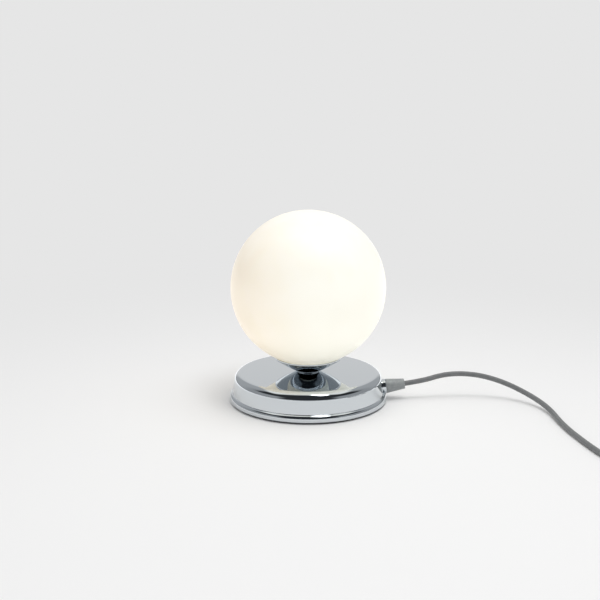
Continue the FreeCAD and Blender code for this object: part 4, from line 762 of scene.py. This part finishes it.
class LAMP_OT_globe(bpy.types.Operator):
    """Makes the opal glass ball with its fire-polished opening"""

    bl_idname = "globe_lamp.globe"
    bl_label = "Globe"

    def execute(self, context):
        sizes = context.scene.lamp_sizes
        outer = sizes.globe_radius / MM
        wall = sizes.globe_wall / MM
        centre = sizes.globe_height / MM
        opening = sizes.globe_opening / MM
        inner = outer - wall
        middle = outer - wall / 2
        lip_angle = -math.acos((opening + wall / 2) / middle)

        def at(radius, angle):
            return (radius * math.cos(angle), centre + radius * math.sin(angle))
        lip = at(middle, lip_angle)
        across = lip_angle - math.pi / 2
        edge = (lip[0] + wall / 2 * math.cos(across), lip[1] + wall / 2 * math.sin(across))
        globe = turned("globe_glass", [
            at(inner, math.pi / 2), at(outer, math.pi / 2),
            (at(outer, 0.0), at(outer, lip_angle)),
            (edge, at(inner, lip_angle)),
            (at(inner, 0.0), at(inner, math.pi / 2)),
        ], closed=False, around=sizes.segments, arc_step=3.0)
        place_piece(globe, "globe", "opal_glass", "globe_shade")
        return {"FINISHED"}


class LAMP_OT_bulb(bpy.types.Operator):
    """Makes the screw-in bulb's dome, neck and rolled cap"""

    bl_idname = "globe_lamp.bulb"
    bl_label = "Bulb"

    def execute(self, context):
        centre = 114.7
        radius = 22.5
        wall = 1.2
        neck = 13.0
        rim = centre - math.sqrt(radius ** 2 - neck ** 2)
        inner = radius - wall
        inner_neck = math.sqrt(inner ** 2 - (centre - rim) ** 2)
        dome = turned("bulb_dome", [
            (0.0, centre + inner), (0.0, centre + radius),
            ((radius, centre), (neck, rim)),
            (inner_neck, rim),
            ((inner, centre), (0.0, centre + inner)),
        ], closed=False, around=128)
        place_piece(dome, "bulb", "bulb_opal", "bulb_envelope")
        crest, valley = 6.95, 6.5
        z = BULB_CAP_LOW + 0.4
        outline = [(BULB_BORE, BULB_CAP_LOW), (valley, BULB_CAP_LOW), (valley, z)]
        for _ in range(THREAD_TURNS):
            outline += [
                ((crest, z + THREAD_PITCH / 2), (valley, z + THREAD_ROUND)),
                (valley, z + THREAD_PITCH),
            ]
            z += THREAD_PITCH
        outline += [(crest, z + 1.2), (crest, BULB_CAP_HIGH), (BULB_BORE, BULB_CAP_HIGH)]
        cap = turned("bulb_cap_rolled", outline, arc_step=20.0)
        place_piece(cap, "bulb", "bulb_metal", "bulb_cap")
        neck_bore = neck - 1.6
        housing = turned("bulb_neck", [
            (BULB_BORE, BULB_CAP_HIGH), (7.85, BULB_CAP_HIGH), (8.15, BULB_CAP_HIGH + 2.0),
            ((11.0, (BULB_CAP_HIGH + rim) / 2 + 1), (neck, rim)),
            (neck_bore, rim), (neck_bore, rim - 4.0), (BULB_BORE, BULB_CAP_HIGH + 4.0),
        ])
        place_piece(housing, "bulb", "bulb_plastic", "bulb_housing")
        return {"FINISHED"}


class LAMP_OT_lampholder(bpy.types.Operator):
    """Makes the two moulded halves of the lampholder"""

    bl_idname = "globe_lamp.lampholder"
    bl_label = "Lampholder"

    def execute(self, context):
        cap = turned("holder_cap_moulded", [
            (4.95, HOLDER_FOOT), (12.9, HOLDER_FOOT),
            ((13.32, 35.68), (13.5, 36.1)),
            (13.5, HOLDER_SPLIT), (12.3, HOLDER_SPLIT), (12.3, 48.0),
            (10.6, 48.0), (10.6, 43.8), (4.95, 43.8),
        ])
        even_flats(cap)
        place_piece(cap, "base", "holder_plastic", "holder_cap")
        shell = turned("holder_shell_moulded", [
            (12.4, HOLDER_SPLIT), (13.6, HOLDER_SPLIT),
            ((13.88, 43.12), (14.0, 43.4)),
            (14.0, 55.0), (13.2, 72.0),
            ((12.91, 72.71), (12.2, HOLDER_MOUTH)),
            (9.5, HOLDER_MOUTH),
            ((9.29, 72.91), (9.2, 72.7)),
            (9.2, 71.8), (12.0, 71.8), (12.4, 59.0),
        ])
        even_flats(shell)
        place_piece(shell, "base", "holder_plastic", "holder_shell")
        return {"FINISHED"}


class LAMP_OT_finishes(bpy.types.Operator):
    """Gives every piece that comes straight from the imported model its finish"""

    bl_idname = "globe_lamp.finishes"
    bl_label = "Finishes"

    def execute(self, context):
        for part in frame["record"]["subparts"]:
            node = NODES[part["node"]]
            if node.hide_render:
                continue
            node.data.materials.clear()
            node.data.materials.append(finish_of(part["material_slot"]))
        return {"FINISHED"}


class LAMP_PT_panel(bpy.types.Panel):
    """Lists the steps that make the lamp"""

    bl_idname = "LAMP_PT_panel"
    bl_label = "Globe Lamp"
    bl_space_type = "VIEW_3D"
    bl_region_type = "UI"
    bl_category = "Globe Lamp"

    def draw(self, context):
        layout = self.layout
        for settings in (context.scene.lamp_sizes, context.scene.lamp_colours, context.scene.lamp_studio):
            for name in settings.__annotations__:
                layout.prop(settings, name)
        for step in STEPS:
            layout.operator(step.bl_idname)


STEPS = [
    LAMP_OT_stage, LAMP_OT_gland, LAMP_OT_cord, LAMP_OT_base, LAMP_OT_cup, LAMP_OT_globe, LAMP_OT_bulb,
    LAMP_OT_lampholder, LAMP_OT_finishes,
]
GROUPS = {"lamp_sizes": LampSizes, "lamp_colours": LampColours, "lamp_studio": StudioSettings}


def register():
    """Registers the settings, the steps and the panel."""
    for group in GROUPS.values():
        bpy.utils.register_class(group)
    for step in STEPS:
        bpy.utils.register_class(step)
    bpy.utils.register_class(LAMP_PT_panel)
    for name, group in GROUPS.items():
        setattr(bpy.types.Scene, name, PointerProperty(type=group))


def unregister():
    """Takes back what register did."""
    for name in GROUPS:
        delattr(bpy.types.Scene, name)
    bpy.utils.unregister_class(LAMP_PT_panel)
    for step in reversed(STEPS):
        bpy.utils.unregister_class(step)
    for group in GROUPS.values():
        bpy.utils.unregister_class(group)


def main():
    """Makes the lamp step by step."""
    register()
    for step in STEPS:
        group, name = step.bl_idname.split(".")
        getattr(getattr(bpy.ops, group), name)()


if __name__ == "__main__":
    main()
